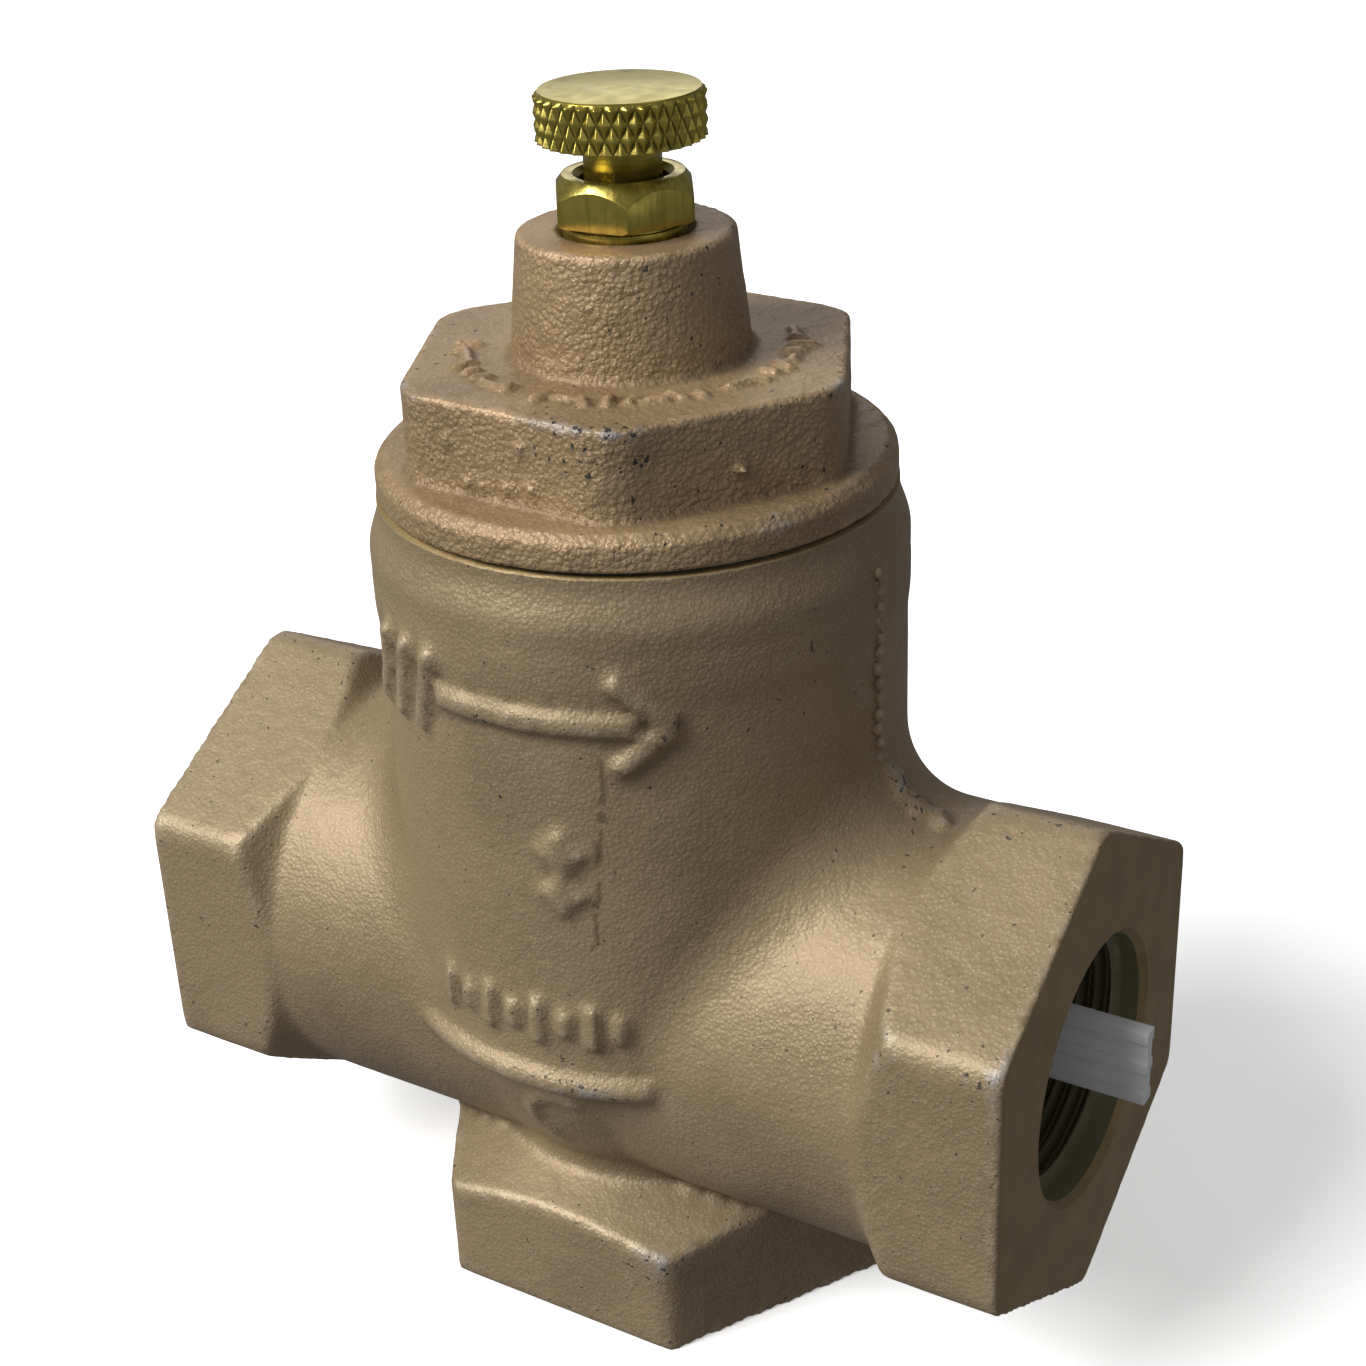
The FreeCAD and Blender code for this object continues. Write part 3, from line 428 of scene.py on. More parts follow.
def finish_piece(obj, body, slot, nodes, *materials):
    """Gives a piece its materials and body and hides the CAD nodes it stands for; the slot argument is not used."""
    obj.data.materials.clear()
    for material in materials:
        obj.data.materials.append(material)
    for polygon in obj.data.polygons:
        polygon.use_smooth = True
    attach(obj, body)
    if nodes:
        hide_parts(*nodes)
    return obj


def skin_reach(skin, angle, height):
    """How far the casting's skin stands from the stem's axis, looking in at this angle and height."""
    inward = Vector((-math.cos(angle), -math.sin(angle), 0.0))
    hit = skin.ray_cast(Vector((0, 0, height)) - 80.0 * inward, inward)[0]
    return math.hypot(hit.x, hit.y)


def wrap(verts, skin, angle, height):
    """Lays flat work on the casting's skin: X runs round it from an angle in degrees, Y up it, Z out from it."""
    angle = math.radians(angle)
    radius = skin_reach(skin, angle, height)
    for vert in verts:
        turn = angle + vert.co.x / radius
        out = skin_reach(skin, turn, height + vert.co.y) + vert.co.z
        vert.co = Vector((out * math.cos(turn), out * math.sin(turn), height + vert.co.y))


def bar(shape, length, width, thick, at=(0.0, 0.0), turn=0):
    """A raised bar with drafted sides, laid flat in X and Y and turned by degrees, its foot sunk under the skin."""
    sunk = 1.2
    pieces = max(1, round(length / 1.5))
    foot = bmesh.ops.create_grid(shape, x_segments=pieces, y_segments=1, size=0.5)["verts"]
    bmesh.ops.scale(shape, vec=(length, width, 1.0), verts=foot)
    bmesh.ops.translate(shape, vec=(0, 0, -sunk), verts=foot)
    flat = list({face for vert in foot for face in vert.link_faces})
    grown = bmesh.ops.extrude_face_region(shape, geom=flat)["geom"]
    top = [g for g in grown if isinstance(g, bmesh.types.BMVert)]
    bmesh.ops.scale(shape, vec=(1 - 0.5 / length, 1 - 0.5 / width, 1.0), verts=top)
    bmesh.ops.translate(shape, vec=(0, 0, thick + sunk), verts=top)
    made = foot + top
    bmesh.ops.recalc_face_normals(shape, faces=list({face for vert in made for face in vert.link_faces}))
    bmesh.ops.rotate(shape, cent=(0, 0, 0), matrix=Matrix.Rotation(math.radians(turn), 3, "Z"),
                     verts=made)
    bmesh.ops.translate(shape, vec=(*at, 0.0), verts=made)
    return made


def measure_edges(mesh):
    """Writes how far each point stands out of its neighbours, smoothed, as the "edge" attribute."""
    count = len(mesh.vertices)
    place = np.zeros(count * 3)
    mesh.vertices.foreach_get("co", place)
    place = place.reshape(-1, 3)
    normal = np.zeros(count * 3)
    mesh.vertex_normals.foreach_get("vector", normal)
    normal = normal.reshape(-1, 3)
    pairs = np.zeros(len(mesh.edges) * 2, np.int64)
    mesh.edges.foreach_get("vertices", pairs)
    a, b = pairs.reshape(-1, 2).T
    step = place[b] - place[a]
    length = np.linalg.norm(step, axis=1) + 1e-12
    degree = np.bincount(a, minlength=count) + np.bincount(b, minlength=count)
    rise = np.bincount(a, -(step * normal[a]).sum(1) / length, count)
    rise += np.bincount(b, (step * normal[b]).sum(1) / length, count)
    rise /= np.maximum(degree, 1)
    for _ in range(3):
        spread = np.bincount(a, rise[b], count) + np.bincount(b, rise[a], count)
        rise = 0.5 * rise + 0.5 * spread / np.maximum(degree, 1)
    attribute = mesh.attributes.new("edge", "FLOAT", "POINT")
    attribute.data.foreach_set("value", rise.astype(np.float32))


def paint_wear(mesh, spots):
    """Writes how bruised each point is, from spots of (place, size, strength) in millimetres, as "wear"."""
    place = np.zeros(len(mesh.vertices) * 3)
    mesh.vertices.foreach_get("co", place)
    place = place.reshape(-1, 3) / MM
    wear = np.zeros(len(place))
    for centre, size, strength in spots:
        away = np.linalg.norm(place - np.array(centre), axis=1)
        wear = np.maximum(wear, strength * np.clip(1.4 - away / size, 0, 1))
    mesh.attributes.new("wear", "FLOAT", "POINT").data.foreach_set("value", wear.astype(np.float32))


def remake(obj, grid, smoothing):
    """Remakes a mesh as even facets of the given size and rounds it, as a sand mould does."""
    remesh = obj.modifiers.new("cast_skin", "REMESH")
    remesh.mode = "VOXEL"
    remesh.voxel_size = grid
    smooth = obj.modifiers.new("mould_rounding", "SMOOTH")
    smooth.factor = 0.5
    smooth.iterations = smoothing
    bake_modifiers(obj)


def settle(obj, move, wavy):
    """Opens a casting's mesh in millimetres, lets a function move its points, and closes it."""
    shape = bmesh.new()
    shape.from_mesh(obj.data)
    bmesh.ops.scale(shape, vec=(1 / MM,) * 3, verts=shape.verts)
    shape.normal_update()
    move(shape, wavy)
    bmesh.ops.scale(shape, vec=(MM,) * 3, verts=shape.verts)
    shape.to_mesh(obj.data)
    shape.free()


def push_out(vert, share):
    """Moves a point straight out from the upright axis, or in to it, by this share of its reach."""
    vert.co.x *= share
    vert.co.y *= share


def wave(point, size_mm):
    """Smooth noise from -1 to 1 whose swells are about this many millimetres long."""
    return noise.noise(point / size_mm)


# --- Body casting ---------------------
def flow_arrow(shape, raise_mm):
    """A flow arrow with hatching at its tail."""
    made = bar(shape, 25.0, 2.6, raise_mm, at=(3.5, 0.0))
    for side in (1, -1):
        made += bar(shape, 9.0, 2.4, raise_mm, at=(16.6, 2.9 * side), turn=-40 * side)
    for i in range(3):
        made += bar(shape, 11.5, 2.3, raise_mm, at=(-20.5 + 4.6 * i, 0.0), turn=74)
    return made


def tally(shape, raise_mm):
    """A row of long and short upright bars, like a rule's divisions."""
    made = []
    for i in range(8):
        length = 3.6 if i % 2 else 6.0
        made += bar(shape, length, 1.8, raise_mm, at=(-11.9 + 3.4 * i, 0.0), turn=90)
    return made


def cast_marks(shape, raise_mm):
    """Generic raised marks: an arrow, two lozenges, a row of tallies, a hook, and the barrel's lip."""
    skin = BVHTree.FromBMesh(shape)
    wrap(flow_arrow(shape, raise_mm), skin, -88.5, 88.4)
    lozenges = []
    for up in (2.7, -2.7):
        lozenges += bar(shape, 4.4, 4.4, raise_mm * 0.8, at=(0, up), turn=45)
    wrap(lozenges, skin, -77, 69.2)
    wrap(tally(shape, raise_mm * 0.85), skin, -88, 48.5)
    hook = []
    for across, up, turn in ((4.4, 4.2, -4), (1.9, 4.0, 20), (-0.3, 2.6, 55), (-1.1, 0.4, 88),
                             (-0.5, -1.8, 122), (0.9, -3.6, 135)):
        hook += bar(shape, 3.0, 1.5, raise_mm * 0.7, at=(across, up), turn=turn)
    wrap(hook, skin, -92, 30.4)

    # the lip is a bead that runs round the front of the barrel's foot and dies out at both ends
    upright = Matrix.Translation((BARREL - 0.15, 0, 40.1)) @ Matrix.Rotation(math.pi / 2, 4, "X")
    bead = bmesh.ops.create_circle(shape, cap_ends=True, segments=12, radius=1.65, matrix=upright)["verts"]
    bmesh.ops.rotate(shape, cent=(0, 0, 0), matrix=Matrix.Rotation(math.radians(-127), 3, "Z"), verts=bead)
    start = bead + list({e for v in bead for e in v.link_edges})
    start += list({f for v in bead for f in v.link_faces})
    bmesh.ops.spin(shape, geom=start, cent=(0, 0, 0), axis=(0, 0, 1), angle=math.radians(66), steps=44)


def parting_flash(shape):
    """Beads of flash where the mould's joint crosses the blend over the outlet."""
    for i in range(9):
        turn = math.radians(28 + 6.5 * i)
        centre = (BLEND_X - BLEND * math.cos(turn), 0.9 * math.sin(2.1 * i), BLEND_Z - BLEND * math.sin(turn))
        bmesh.ops.create_icosphere(shape, subdivisions=2, radius=1.15, matrix=Matrix.Translation(centre))


def settle_body(shape, wavy):
    """Lays the machined faces and bores back to size, draws the neck in, and lets the cast skin wander."""
    for vert in shape.verts:
        x, y, z = vert.co
        axis_reach = math.hypot(y, z - RUN_HEIGHT)
        stem_reach = math.hypot(x, y)
        # each port's face lies just under the turned ring round its bore
        if abs(x) > PORT_FACE - FACE_BAND and abs(vert.normal.x) > 0.97:
            vert.co.x = math.copysign(PORT_FACE - FACE_DROP, x)
        if z < FACE_BAND and vert.normal.z < -0.97:
            vert.co.z = FACE_DROP
        if abs(x) > 41.5 and axis_reach < BORE + BORE_ROOM:
            share = (BORE + BORE_ROOM) / axis_reach
            vert.co.y, vert.co.z = y * share, RUN_HEIGHT + (z - RUN_HEIGHT) * share
        elif z < 14.5 and stem_reach < BORE + BORE_ROOM:
            push_out(vert, (BORE + BORE_ROOM) / stem_reach)
        elif z > NECK_FOOT and stem_reach > 28.6:
            ease = min(1.0, max(0.0, (NECK_TOP - z) / 5.3))
            push_out(vert, (NECK + (SHOULDER - NECK) * ease * ease * (3 - 2 * ease)) / stem_reach)
        elif abs(x) <= PORT_FACE - FACE_BAND and z >= FACE_BAND:
            # the wave only takes metal away, so that the casting never outgrows its drawn size
            swell = 0.6 * wave(vert.co, 7.0) + 0.4 * wave(vert.co, 2.6) - 0.8
            vert.co += vert.normal * wavy * swell


def scratch_line(mesh):
    """Darkens a hairline down the front of the barrel, where the mould had cracked."""
    edge = mesh.attributes["edge"].data
    for vert in mesh.vertices:
        x, y, z = vert.co / MM
        if y < -20 and 59 < z < 84 and abs(x) < 20:
            line = math.radians(-70.9 + 0.175 * (z - 60) + 0.5 * wave(Vector((0, 0, z)), 3.0))
            if abs(math.atan2(y, x) - line) * BARREL < 0.36 and wave(Vector((9, 0, z)), 2.2) < 0.35:
                edge[vert.index].value = -0.15


def hidden_share(obj):
    """Thins the facets inside the casting and behind the ports' turned walls, which nothing shows."""
    group = obj.vertex_groups.new(name="inside")
    inside = []
    for vert in obj.data.vertices:
        x, y, z = vert.co / MM
        near = min(math.hypot(x, y), math.hypot(y, z - RUN_HEIGHT))
        if abs(x) < 38.0 and 16.0 < z < 105.0:
            wall = 26.6 if z > 26.0 else 18.6
        else:
            wall = RING - 0.4 if abs(x) < PORT_FACE - 1.5 and z > 1.5 else 0.0
        if near < wall:
            inside.append(vert.index)
    group.add(inside, 1.0, "REPLACE")
    thin = obj.modifiers.new("thin_inside", "DECIMATE")
    thin.vertex_group = "inside"
    thin.ratio = 1 - 0.93 * len(inside) / len(obj.data.vertices)
    thin.use_collapse_triangulate = True
    bake_modifiers(obj)
    obj.vertex_groups.clear()


class VALVE_OT_body(bpy.types.Operator):
    """Makes the cast bronze body"""

    bl_idname = "valve.body"
    bl_label = "Cast body"

    def execute(self, context):
        sizes = context.scene.valve_casting
        shape = cad_copy("valve_body")
        cast_marks(shape, sizes.mark_height / MM)
        parting_flash(shape)
        obj = as_object(shape, "cast_body")
        remake(obj, sizes.body_grid, 3)
        hidden_share(obj)
        settle(obj, settle_body, sizes.sand_wave / MM)
        measure_edges(obj.data)
        scratch_line(obj.data)
        paint_wear(obj.data, BODY_WEAR)
        finish_piece(obj, "valve", "body_casting", ["valve_body"], body_bronze(context.scene.valve_colours),
                     faced_bronze("faced_bronze", "#957E55", "#806B45"))
        for polygon in obj.data.polygons:
            centre, out = polygon.center / MM, polygon.normal
            on_rim = centre.z > BODY_HIGH.z - 0.2 and out.z > 0.9
            if abs(centre.x) > PORT_FACE - 0.2 or centre.z < 0.2 or on_rim:
                polygon.material_index = 1
        seam = bmesh.new()
        for i in range(13):
            turn = math.radians(-1.6 + 0.5 * math.sin(1.9 * i))
            out = BARREL + 0.1 * math.sin(2.7 * i)
            place = Matrix.Translation((out * math.cos(turn), out * math.sin(turn), 75.6 + 1.95 * i))
            stretch = Matrix.Diagonal((1, 1, 1.15, 1))
            bmesh.ops.create_icosphere(seam, subdivisions=2, radius=0.8, matrix=place @ stretch)
        beads = as_object(seam, "mould_seam")
        # the beads' edge values make their tops paler, partly as handling wear and partly as a painted highlight
        measure_edges(beads.data)
        finish_piece(beads, "valve", "body_casting", ["valve_body"], obj.data.materials[0])
        return {"FINISHED"}


# --- Port threads ---------------------
def thread_ridge(pitch, depth, start, end):
    """One helical ridge inside a bore, from its face up, its first part-turn fading in."""
    shape = bmesh.new()
    root = BORE + 0.12
    crest = BORE - depth
    profile = ((root, 0.0), (crest, 0.42 * pitch), (crest, 0.54 * pitch), (root, 0.96 * pitch))
    ring = [shape.verts.new((out, 0.0, start + up)) for out, up in profile]
    face = shape.faces.new(ring)
    turns = (end - start) / pitch - 1
    steps = round(turns * 96)
    bmesh.ops.spin(shape, geom=[*ring, *face.edges, face], cent=(0, 0, 0), axis=(0, 0, 1), use_merge=False,
                   dvec=(0, 0, turns * pitch / steps), angle=turns * 2 * math.pi, steps=steps)
    bmesh.ops.remove_doubles(shape, verts=shape.verts, dist=0.0001)
    bmesh.ops.recalc_face_normals(shape, faces=shape.faces)
    for vert in shape.verts:
        out = math.hypot(vert.co.x, vert.co.y)
        if out < root - 0.1:
            # a pipe thread tapers 1 in 16, and its first third of a turn runs out to nothing
            wanted = crest - vert.co.z / 32
            begun = min(1.0, max(0.0, (vert.co.z - start - 0.42 * pitch) / (0.33 * pitch)))
            wanted = (root - 0.15) + (wanted - root + 0.15) * begun
            push_out(vert, wanted / out)
    return shape


def turned_ring(deep):
    """The faced ring, countersink and bored wall of one port, cut in one set-up."""
    shape = bmesh.new()
    profile = ((RING, 0.05), (RING - 1.0, 0.0), (BORE + 0.55, 0.0), (BORE - 0.25, 0.9), (BORE - 0.1, deep),
               (BORE + 1.4, deep))
    ring = [shape.verts.new((out, 0.0, up)) for out, up in profile]
    edges = [shape.edges.new((ring[i - 1], ring[i])) for i in range(len(ring))]
    bmesh.ops.spin(shape, geom=ring + edges, cent=(0, 0, 0), axis=(0, 0, 1), angle=2 * math.pi, steps=128,
                   use_merge=True)
    bmesh.ops.recalc_face_normals(shape, faces=shape.faces)
    return shape


class VALVE_OT_ports(bpy.types.Operator):
    """Turns the three ports' faces and cuts their pipe threads"""

    bl_idname = "valve.ports"
    bl_label = "Threaded ports"

    def execute(self, context):
        brass = context.scene.valve_brass
        cut = cut_bronze("cut_thread_bronze", "#807B5E", "#565340")
        bored = cut_bronze("bored_bronze", "#B0AA86", "#898465")
        face = bpy.data.materials["faced_bronze"]
        run = Matrix.Translation((0, 0, RUN_HEIGHT))
        inward = Matrix.Translation((0, 0, -PORT_FACE))
        ports = (
            ("outlet", SIDE_DEPTH, run @ Matrix.Rotation(-math.pi / 2, 4, "Y") @ inward),
            ("left", SIDE_DEPTH, run @ Matrix.Rotation(math.pi / 2, 4, "Y") @ inward),
            ("bottom", BOTTOM_DEPTH, Matrix.Identity(4)),
        )
        for name, deep, place in ports:
            thread = thread_ridge(brass.thread_pitch / MM, brass.thread_depth / MM, THREAD_START, deep)
            ring = turned_ring(deep)
            flat = [f.calc_center_median().z < 0.5 for f in ring.faces]
            for shape in (thread, ring):
                bmesh.ops.transform(shape, matrix=place, verts=shape.verts)
            thread = as_object(thread, f"{name}_thread")
            ring = as_object(ring, f"{name}_ring")
            finish_piece(thread, "valve", "body_casting", ["valve_body"], cut)
            finish_piece(ring, "valve", "body_casting", ["valve_body"], bored, face)
            for piece in (thread, ring):
                for polygon in piece.data.polygons:
                    polygon.use_smooth = False
            for polygon, faced in zip(ring.data.polygons, flat):
                polygon.material_index = int(faced)
        return {"FINISHED"}


# --- Bonnet ---------------------------
def bonnet_marks(shape, raise_mm):
    """A ring of short bars on the top of the bonnet's hexagon, and a few sand pimples on its front flats."""
    for i in range(27):
        if i in (8, 17):
            continue
        angle = math.radians(-157 + 7.6 * i)
        length, lean = (3.6, 2.4, 3.1)[i % 3], (90, 65, 0, -65)[i % 4]
        made = bar(shape, length, 1.3, raise_mm * 0.7, turn=lean)
        bmesh.ops.rotate(shape, cent=(0, 0, 0), matrix=Matrix.Rotation(angle + math.pi / 2, 3, "Z"),
                         verts=made)
        out = 19.2 + 0.4 * math.sin(2.4 * i)
        bmesh.ops.translate(shape, vec=(out * math.cos(angle), out * math.sin(angle), 120.9), verts=made)
    for place in PIMPLES:
        bmesh.ops.create_icosphere(shape, subdivisions=2, radius=0.62, matrix=Matrix.Translation(place))


def settle_bonnet(shape, wavy):
    """Keeps the turned boss top and stuffing box true, and roughens the rest."""
    for vert in shape.verts:
        x, y, z = vert.co
        out = math.hypot(x, y)
        if z > BONNET_HIGH.z - 0.45 and out < 12.0:
            vert.co.z = BONNET_HIGH.z
        elif z > 106.2 and out > 12.0:
            pit = max(0.0, wave(vert.co + Vector((9, 0, 0)), 1.7) - 0.45)
            lift = wavy * (0.7 * wave(vert.co, 4.0) + 0.7 * wave(vert.co, 1.5) - 0.9) - 0.35 * pit
            vert.co += vert.normal * lift


class VALVE_OT_bonnet(bpy.types.Operator):
    """Makes the screwed bonnet"""

    bl_idname = "valve.bonnet"
    bl_label = "Bonnet"

    def execute(self, context):
        sizes = context.scene.valve_casting
        shape = cad_copy("bonnet")
        bonnet_marks(shape, sizes.mark_height / MM)
        obj = as_object(shape, "cast_bonnet")
        remake(obj, sizes.bonnet_grid, 2)
        settle(obj, settle_bonnet, sizes.sand_wave * 1.3 / MM)
        measure_edges(obj.data)
        paint_wear(obj.data, BONNET_WEAR)
        finish_piece(obj, "valve", "bonnet_casting", ["bonnet"], bonnet_bronze(context.scene.valve_colours),
                     faced_bronze("faced_red_bronze", "#9C8061", "#8A6E50"))
        for polygon in obj.data.polygons:
            if polygon.center.z / MM > BONNET_HIGH.z - 0.1:
                polygon.material_index = 1
        return {"FINISHED"}


# --- Turned brass ---------------------
def eased(node, name, width):
    """A CAD node's shape with its flats joined up and its sharp edges broken by a small round."""
    shape = cad_copy(node)
    bmesh.ops.dissolve_limit(shape, angle_limit=math.radians(1.0), verts=shape.verts, edges=shape.edges)
    edges = [e for e in shape.edges if len(e.link_faces) == 2 and e.calc_face_angle(0.0) > math.radians(25)]
    bmesh.ops.bevel(shape, geom=edges, offset=width, offset_type="OFFSET", affect="EDGES", segments=2,
                    profile=0.5, material=-1, clamp_overlap=True)
    return as_object(shape, name)


def knurled_band(diamonds, depth):
    """The knob's rim: a ring of diamonds left between two sets of crossing grooves."""
    radius = KNOB_HIGH.x + 0.15 * depth
    step = (KNURL_HIGH - KNURL_LOW) / KNURL_ROWS
    shape = bmesh.new()
    bmesh.ops.create_circle(shape, segments=2 * diamonds, radius=radius,
                            matrix=Matrix.Translation((0, 0, KNURL_LOW)))
    edge = list(shape.edges)
    for _ in range(KNURL_ROWS):
        grown = bmesh.ops.extrude_edge_only(shape, edges=edge)["geom"]
        bmesh.ops.translate(shape, vec=(0, 0, step),
                            verts=[g for g in grown if isinstance(g, bmesh.types.BMVert)])
        edge = [g for g in grown if isinstance(g, bmesh.types.BMEdge) and all(
            abs(v.co.z - g.verts[0].co.z) < 1e-6 for v in g.verts)]
    groove = set()
    for vert in shape.verts:
        column = round(math.atan2(-vert.co.x, vert.co.y) / (math.pi / diamonds))
        row = round((vert.co.z - KNURL_LOW) / step)
        if (column + row) % 2:
            groove.add(vert)
    for face in list(shape.faces):
        pair = [v for v in face.verts if v in groove]
        bmesh.utils.face_split(face, pair[0], pair[1])
    for vert in groove:
        push_out(vert, 1 - depth / radius)
    return shape, edge


class VALVE_OT_knob(bpy.types.Operator):
    """Makes the knurled knob"""

    bl_idname = "valve.knob"
    bl_label = "Knob"

    def execute(self, context):
        sizes = context.scene.valve_brass
        brass = context.scene.valve_colours.brass
        metal = turned_brass("polished_brass", brass, "#8F7F38", 0.24, TOOL_RINGS)
        core = eased("knob", "knob_core", 0.18)
        rim = (KNOB_HIGH.x - 0.9) * MM
        for vert in core.data.vertices:
            out = math.hypot(vert.co.x, vert.co.y)
            if out > rim and KNOB_HIGH.z * MM - vert.co.z > 0.45 * MM:
                push_out(vert, rim / out)
        finish_piece(core, "stem", "polished_brass", ["knob"], metal)
        shape, top = knurled_band(sizes.diamonds, sizes.knurl_depth / MM)
        bottom = [e for e in shape.edges if e.is_boundary and all(v.co.z < KNURL_LOW + 1e-4 for v in e.verts)]
        # both ends of the band get a chamfer and then a flat that runs in under the knob's rim
        inner = []
        for edges, rise in ((top, 0.45), (bottom, -0.1)):
            for out in (KNOB_HIGH.x - 0.55, KNOB_HIGH.x - 0.75, KNOB_HIGH.x - 1.8):
                grown = bmesh.ops.extrude_edge_only(shape, edges=edges)["geom"]
                verts = [g for g in grown if isinstance(g, bmesh.types.BMVert)]
                for vert in verts:
                    push_out(vert, out / math.hypot(vert.co.x, vert.co.y))
                    vert.co.z += rise
                edges = [g for g in grown
                         if isinstance(g, bmesh.types.BMEdge) and all(v in verts for v in g.verts)]
                rise = 0.0
            inner += edges
        bmesh.ops.bridge_loops(shape, edges=inner)
        bmesh.ops.recalc_face_normals(shape, faces=shape.faces)
        band = as_object(shape, "knob_knurl")
        finer = band.modifiers.new("finer", "SUBSURF")
        finer.subdivision_type = "SIMPLE"
        finer.levels = finer.render_levels = 3
        worn = band.modifiers.new("worn_tips", "SMOOTH")
        worn.factor = 0.5
        worn.iterations = 5
        bake_modifiers(band)
        measure_edges(band.data)
        finish_piece(band, "stem", "polished_brass", ["knob"], metal)
        return {"FINISHED"}


class VALVE_OT_gland(bpy.types.Operator):
    """Makes the gland nut"""

    bl_idname = "valve.gland"
    bl_label = "Gland nut"

    def execute(self, context):
        metal = turned_brass("hexagon_brass", context.scene.valve_colours.brass, "#7F7030", 0.18, DIE_LINES)
        nut = eased("gland_nut", "gland_nut_turned", 0.14)
        finish_piece(nut, "valve", "polished_brass", ["gland_nut"], metal)
        return {"FINISHED"}


class VALVE_OT_strip(bpy.types.Operator):
    """Makes the clear plastic strip in the outlet"""

    bl_idname = "valve.strip"
    bl_label = "Plastic strip"

    def execute(self, context):
        obj = eased("shipping_strip", "clear_strip", 0.16)
        finish_piece(obj, "strip", "strip_plastic", ["shipping_strip"], extruded_plastic())
        return {"FINISHED"}


class VALVE_OT_trim(bpy.types.Operator):
    """Gives the pieces inside the valve their finishes"""

    bl_idname = "valve.trim"
    bl_label = "Inner trim"

    def execute(self, context):
        brass = turned_brass("machined_brass", linear("#AD9350"), "#84703A", 0.3, TOOL_RINGS)
        steel = drawn_steel()
        finishes = {
            brass: ("seat_ring", "packing_washer", "gland_follower", "stem", "lift_nut", "lift_washer",
                    "disc_holder", "disc_weight", "disc_cap", "clamp_washer", "disc_guide"),
            steel: ("knob_pin", "lift_pin"),
            soft_seal("pressed_fibre", "#3A3F39", "#565B50", 0.8): ("bonnet_gasket",),
            soft_seal("graphite_braid", "#26272A", "#3F4044", 0.6): (
                "packing_ring_lower", "packing_ring_middle", "packing_ring_upper"),
            soft_seal("moulded_rubber", "#17181A", "#222326", 0.7): ("seat_disc",),
        }
        for material, names in finishes.items():
            for name in names:
                if not NODES[name].material_slots:
                    raise RuntimeError(f"{name} has no material slot")
                for slot in NODES[name].material_slots:
                    slot.material = material
        return {"FINISHED"}


# --- Studio ---------------------------
def soft_light(name, at, aim, size, power):
    """A square soft box that looks at a point."""
    data = bpy.data.lights.new(name, "AREA")
    data.size = size
    data.energy = power
    obj = bpy.data.objects.new(name, data)
    obj.location = at
    obj.rotation_euler = (Vector(aim) - Vector(at)).to_track_quat("-Z", "Y").to_euler()
    bpy.context.scene.collection.objects.link(obj)


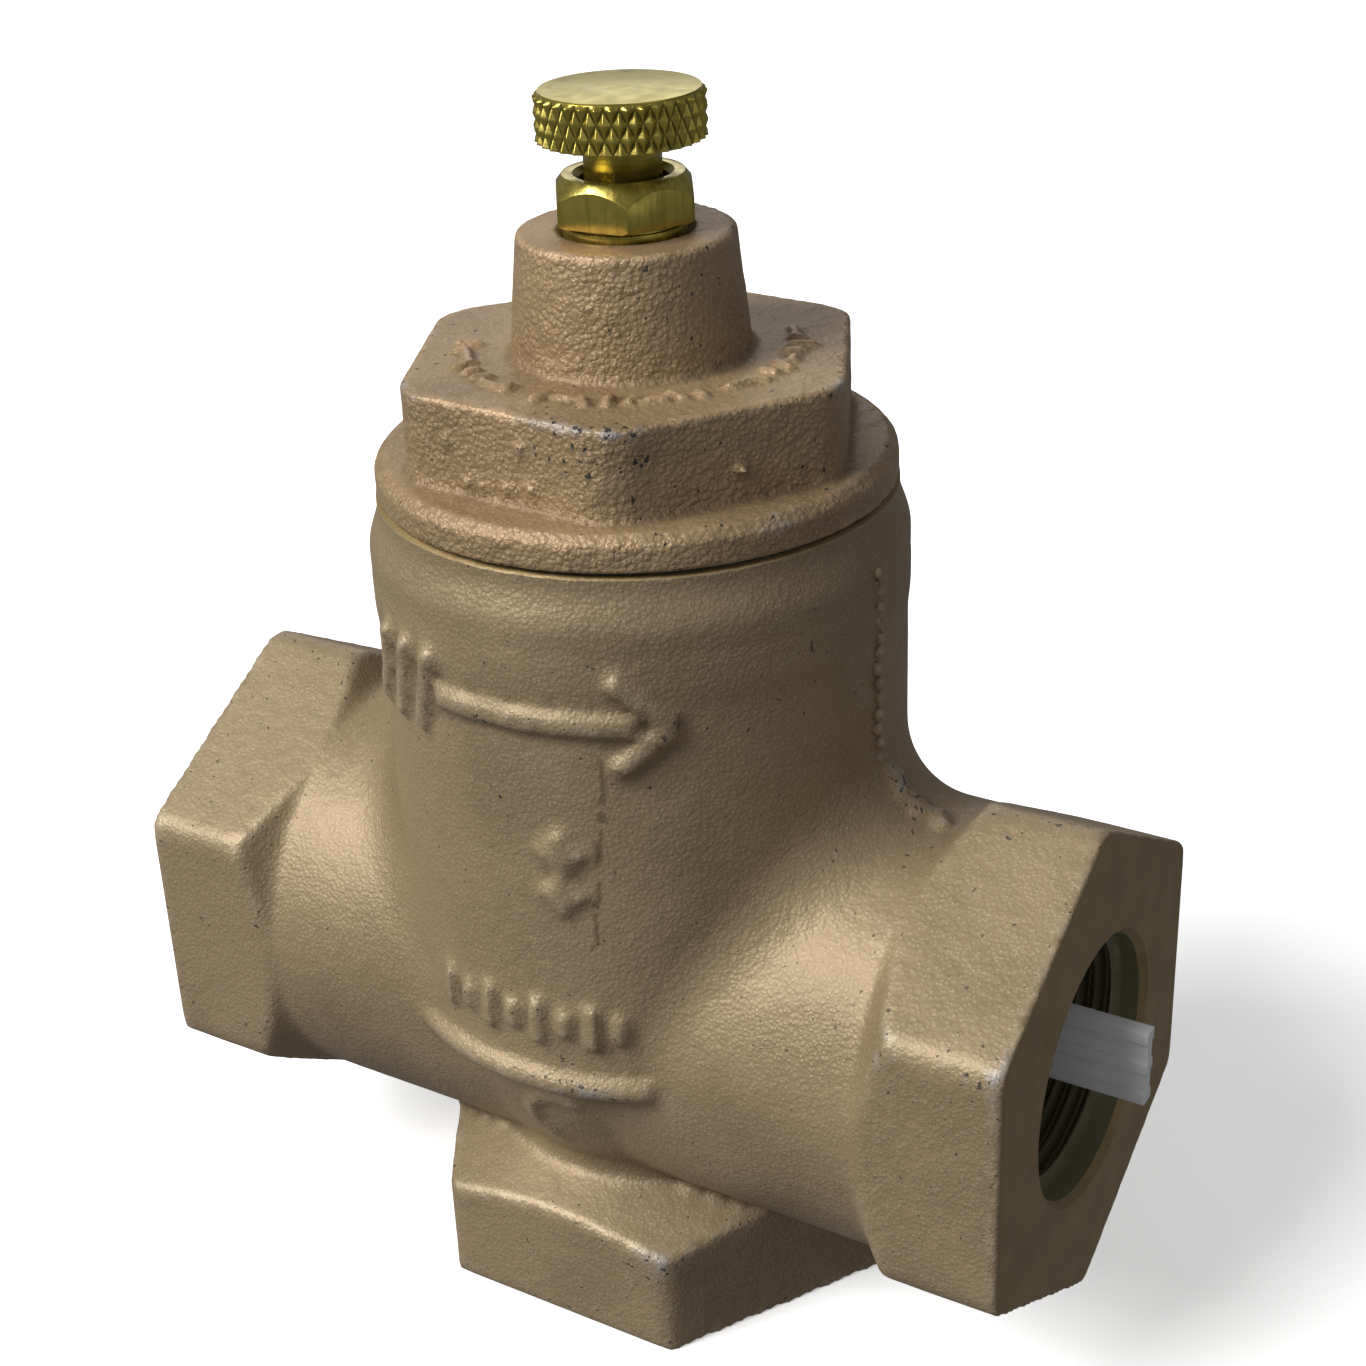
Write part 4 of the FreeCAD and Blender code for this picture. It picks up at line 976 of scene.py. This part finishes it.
class VALVE_OT_stage(bpy.types.Operator):
    """Sets up the floor, the soft lights and the camera"""

    bl_idname = "valve.stage"
    bl_label = "Studio"

    def execute(self, context):
        shape = bmesh.new()
        bmesh.ops.create_grid(shape, x_segments=1, y_segments=1, size=4000.0)
        floor = as_object(shape, "studio_floor")
        material, tree, shader = new_material("matt_paper")
        place = add_node(tree, "ShaderNodeTexCoord", "Object")
        fibre = add_node(tree, "ShaderNodeTexNoise",
                         inputs={"Vector": place, "Scale": per_metre(40.0), "Detail": 2.0})
        tone = add_node(tree, "ShaderNodeMix", 2,
                        {0: fibre, 6: context.scene.valve_colours.floor, 7: linear("#F6F6F5")},
                        data_type="RGBA")
        feed(tree, shader, {"Base Color": tone, "Roughness": 0.95,
                            "Emission Color": linear("#FFFFFF"), "Emission Strength": 0.4})
        floor.data.materials.append(material)
        # the floor shows and takes shadows, but throws no light up under the valve
        floor.visible_diffuse = False
        floor.visible_glossy = False

        key = bpy.data.lights.new("key", "SUN")
        key.energy = 4.2
        key.angle = math.radians(34.0)
        sun = bpy.data.objects.new("key", key)
        sun.rotation_euler = Vector((-0.42, -0.62, 0.66)).to_track_quat("Z", "Y").to_euler()
        context.scene.collection.objects.link(sun)
        middle = (0.0, 0.0, 0.08)
        soft_light("back_card", (-0.62, 0.9, 0.7), middle, 0.7, 2.0)
        soft_light("side_fill", (1.15, -0.3, 0.32), middle, 0.9, 0.95)
        world = bpy.data.worlds.new("studio")
        world.use_nodes = True
        sky = world.node_tree.nodes["Background"]
        feed(world.node_tree, sky, {"Color": linear("#FFFFFF"), "Strength": 0.18})
        context.scene.world = world
        context.scene.view_settings.view_transform = "Standard"

        azimuth, height, roll = math.radians(31.88), math.radians(26.396), math.radians(-2.353)
        right = Vector((math.cos(azimuth), math.sin(azimuth), 0.0))
        level = Vector((math.sin(azimuth), -math.cos(azimuth), 0.0))
        back = level * math.cos(height) + Vector((0.0, 0.0, math.sin(height)))
        up = back.cross(right)
        across = right * math.cos(roll) + up * math.sin(roll)
        upward = up * math.cos(roll) - right * math.sin(roll)
        eye = Vector((137.05, -212.25, 203.02)) * MM
        data = bpy.data.cameras.new("front_view")
        data.lens = 60.48
        data.sensor_width = 36.0
        data.clip_start = 0.01
        camera = bpy.data.objects.new("front_view", data)
        turn = Matrix((across, upward, back)).transposed().to_4x4()
        camera.matrix_world = Matrix.Translation(eye) @ turn
        context.scene.collection.objects.link(camera)
        context.scene.camera = camera
        return {"FINISHED"}


STEPS = (
    VALVE_OT_body,
    VALVE_OT_ports,
    VALVE_OT_bonnet,
    VALVE_OT_knob,
    VALVE_OT_gland,
    VALVE_OT_strip,
    VALVE_OT_trim,
    VALVE_OT_stage,
)


class VALVE_PT_panel(bpy.types.Panel):
    """Lists the valve's pieces in the sidebar"""

    bl_label = "Flow-check valve"
    bl_idname = "VALVE_PT_panel"
    bl_space_type = "VIEW_3D"
    bl_region_type = "UI"
    bl_category = "Valve"

    def draw(self, context):
        layout = self.layout
        for group in (context.scene.valve_casting, context.scene.valve_brass, context.scene.valve_colours):
            box = layout.box()
            for name in group.__annotations__:
                box.prop(group, name)
        for step in STEPS:
            layout.operator(step.bl_idname)


GROUPS = {"valve_casting": ValveCasting, "valve_brass": ValveBrass, "valve_colours": ValveColours}


def register():
    for group in GROUPS.values():
        bpy.utils.register_class(group)
    for name, group in GROUPS.items():
        setattr(bpy.types.Scene, name, bpy.props.PointerProperty(type=group))
    for step in STEPS:
        bpy.utils.register_class(step)
    bpy.utils.register_class(VALVE_PT_panel)


def unregister():
    bpy.utils.unregister_class(VALVE_PT_panel)
    for step in reversed(STEPS):
        bpy.utils.unregister_class(step)
    for name, group in GROUPS.items():
        delattr(bpy.types.Scene, name)
        bpy.utils.unregister_class(group)


def main():
    register()
    for step in STEPS:
        family, name = step.bl_idname.split(".")
        getattr(getattr(bpy.ops, family), name)()


if __name__ == "__main__":
    main()
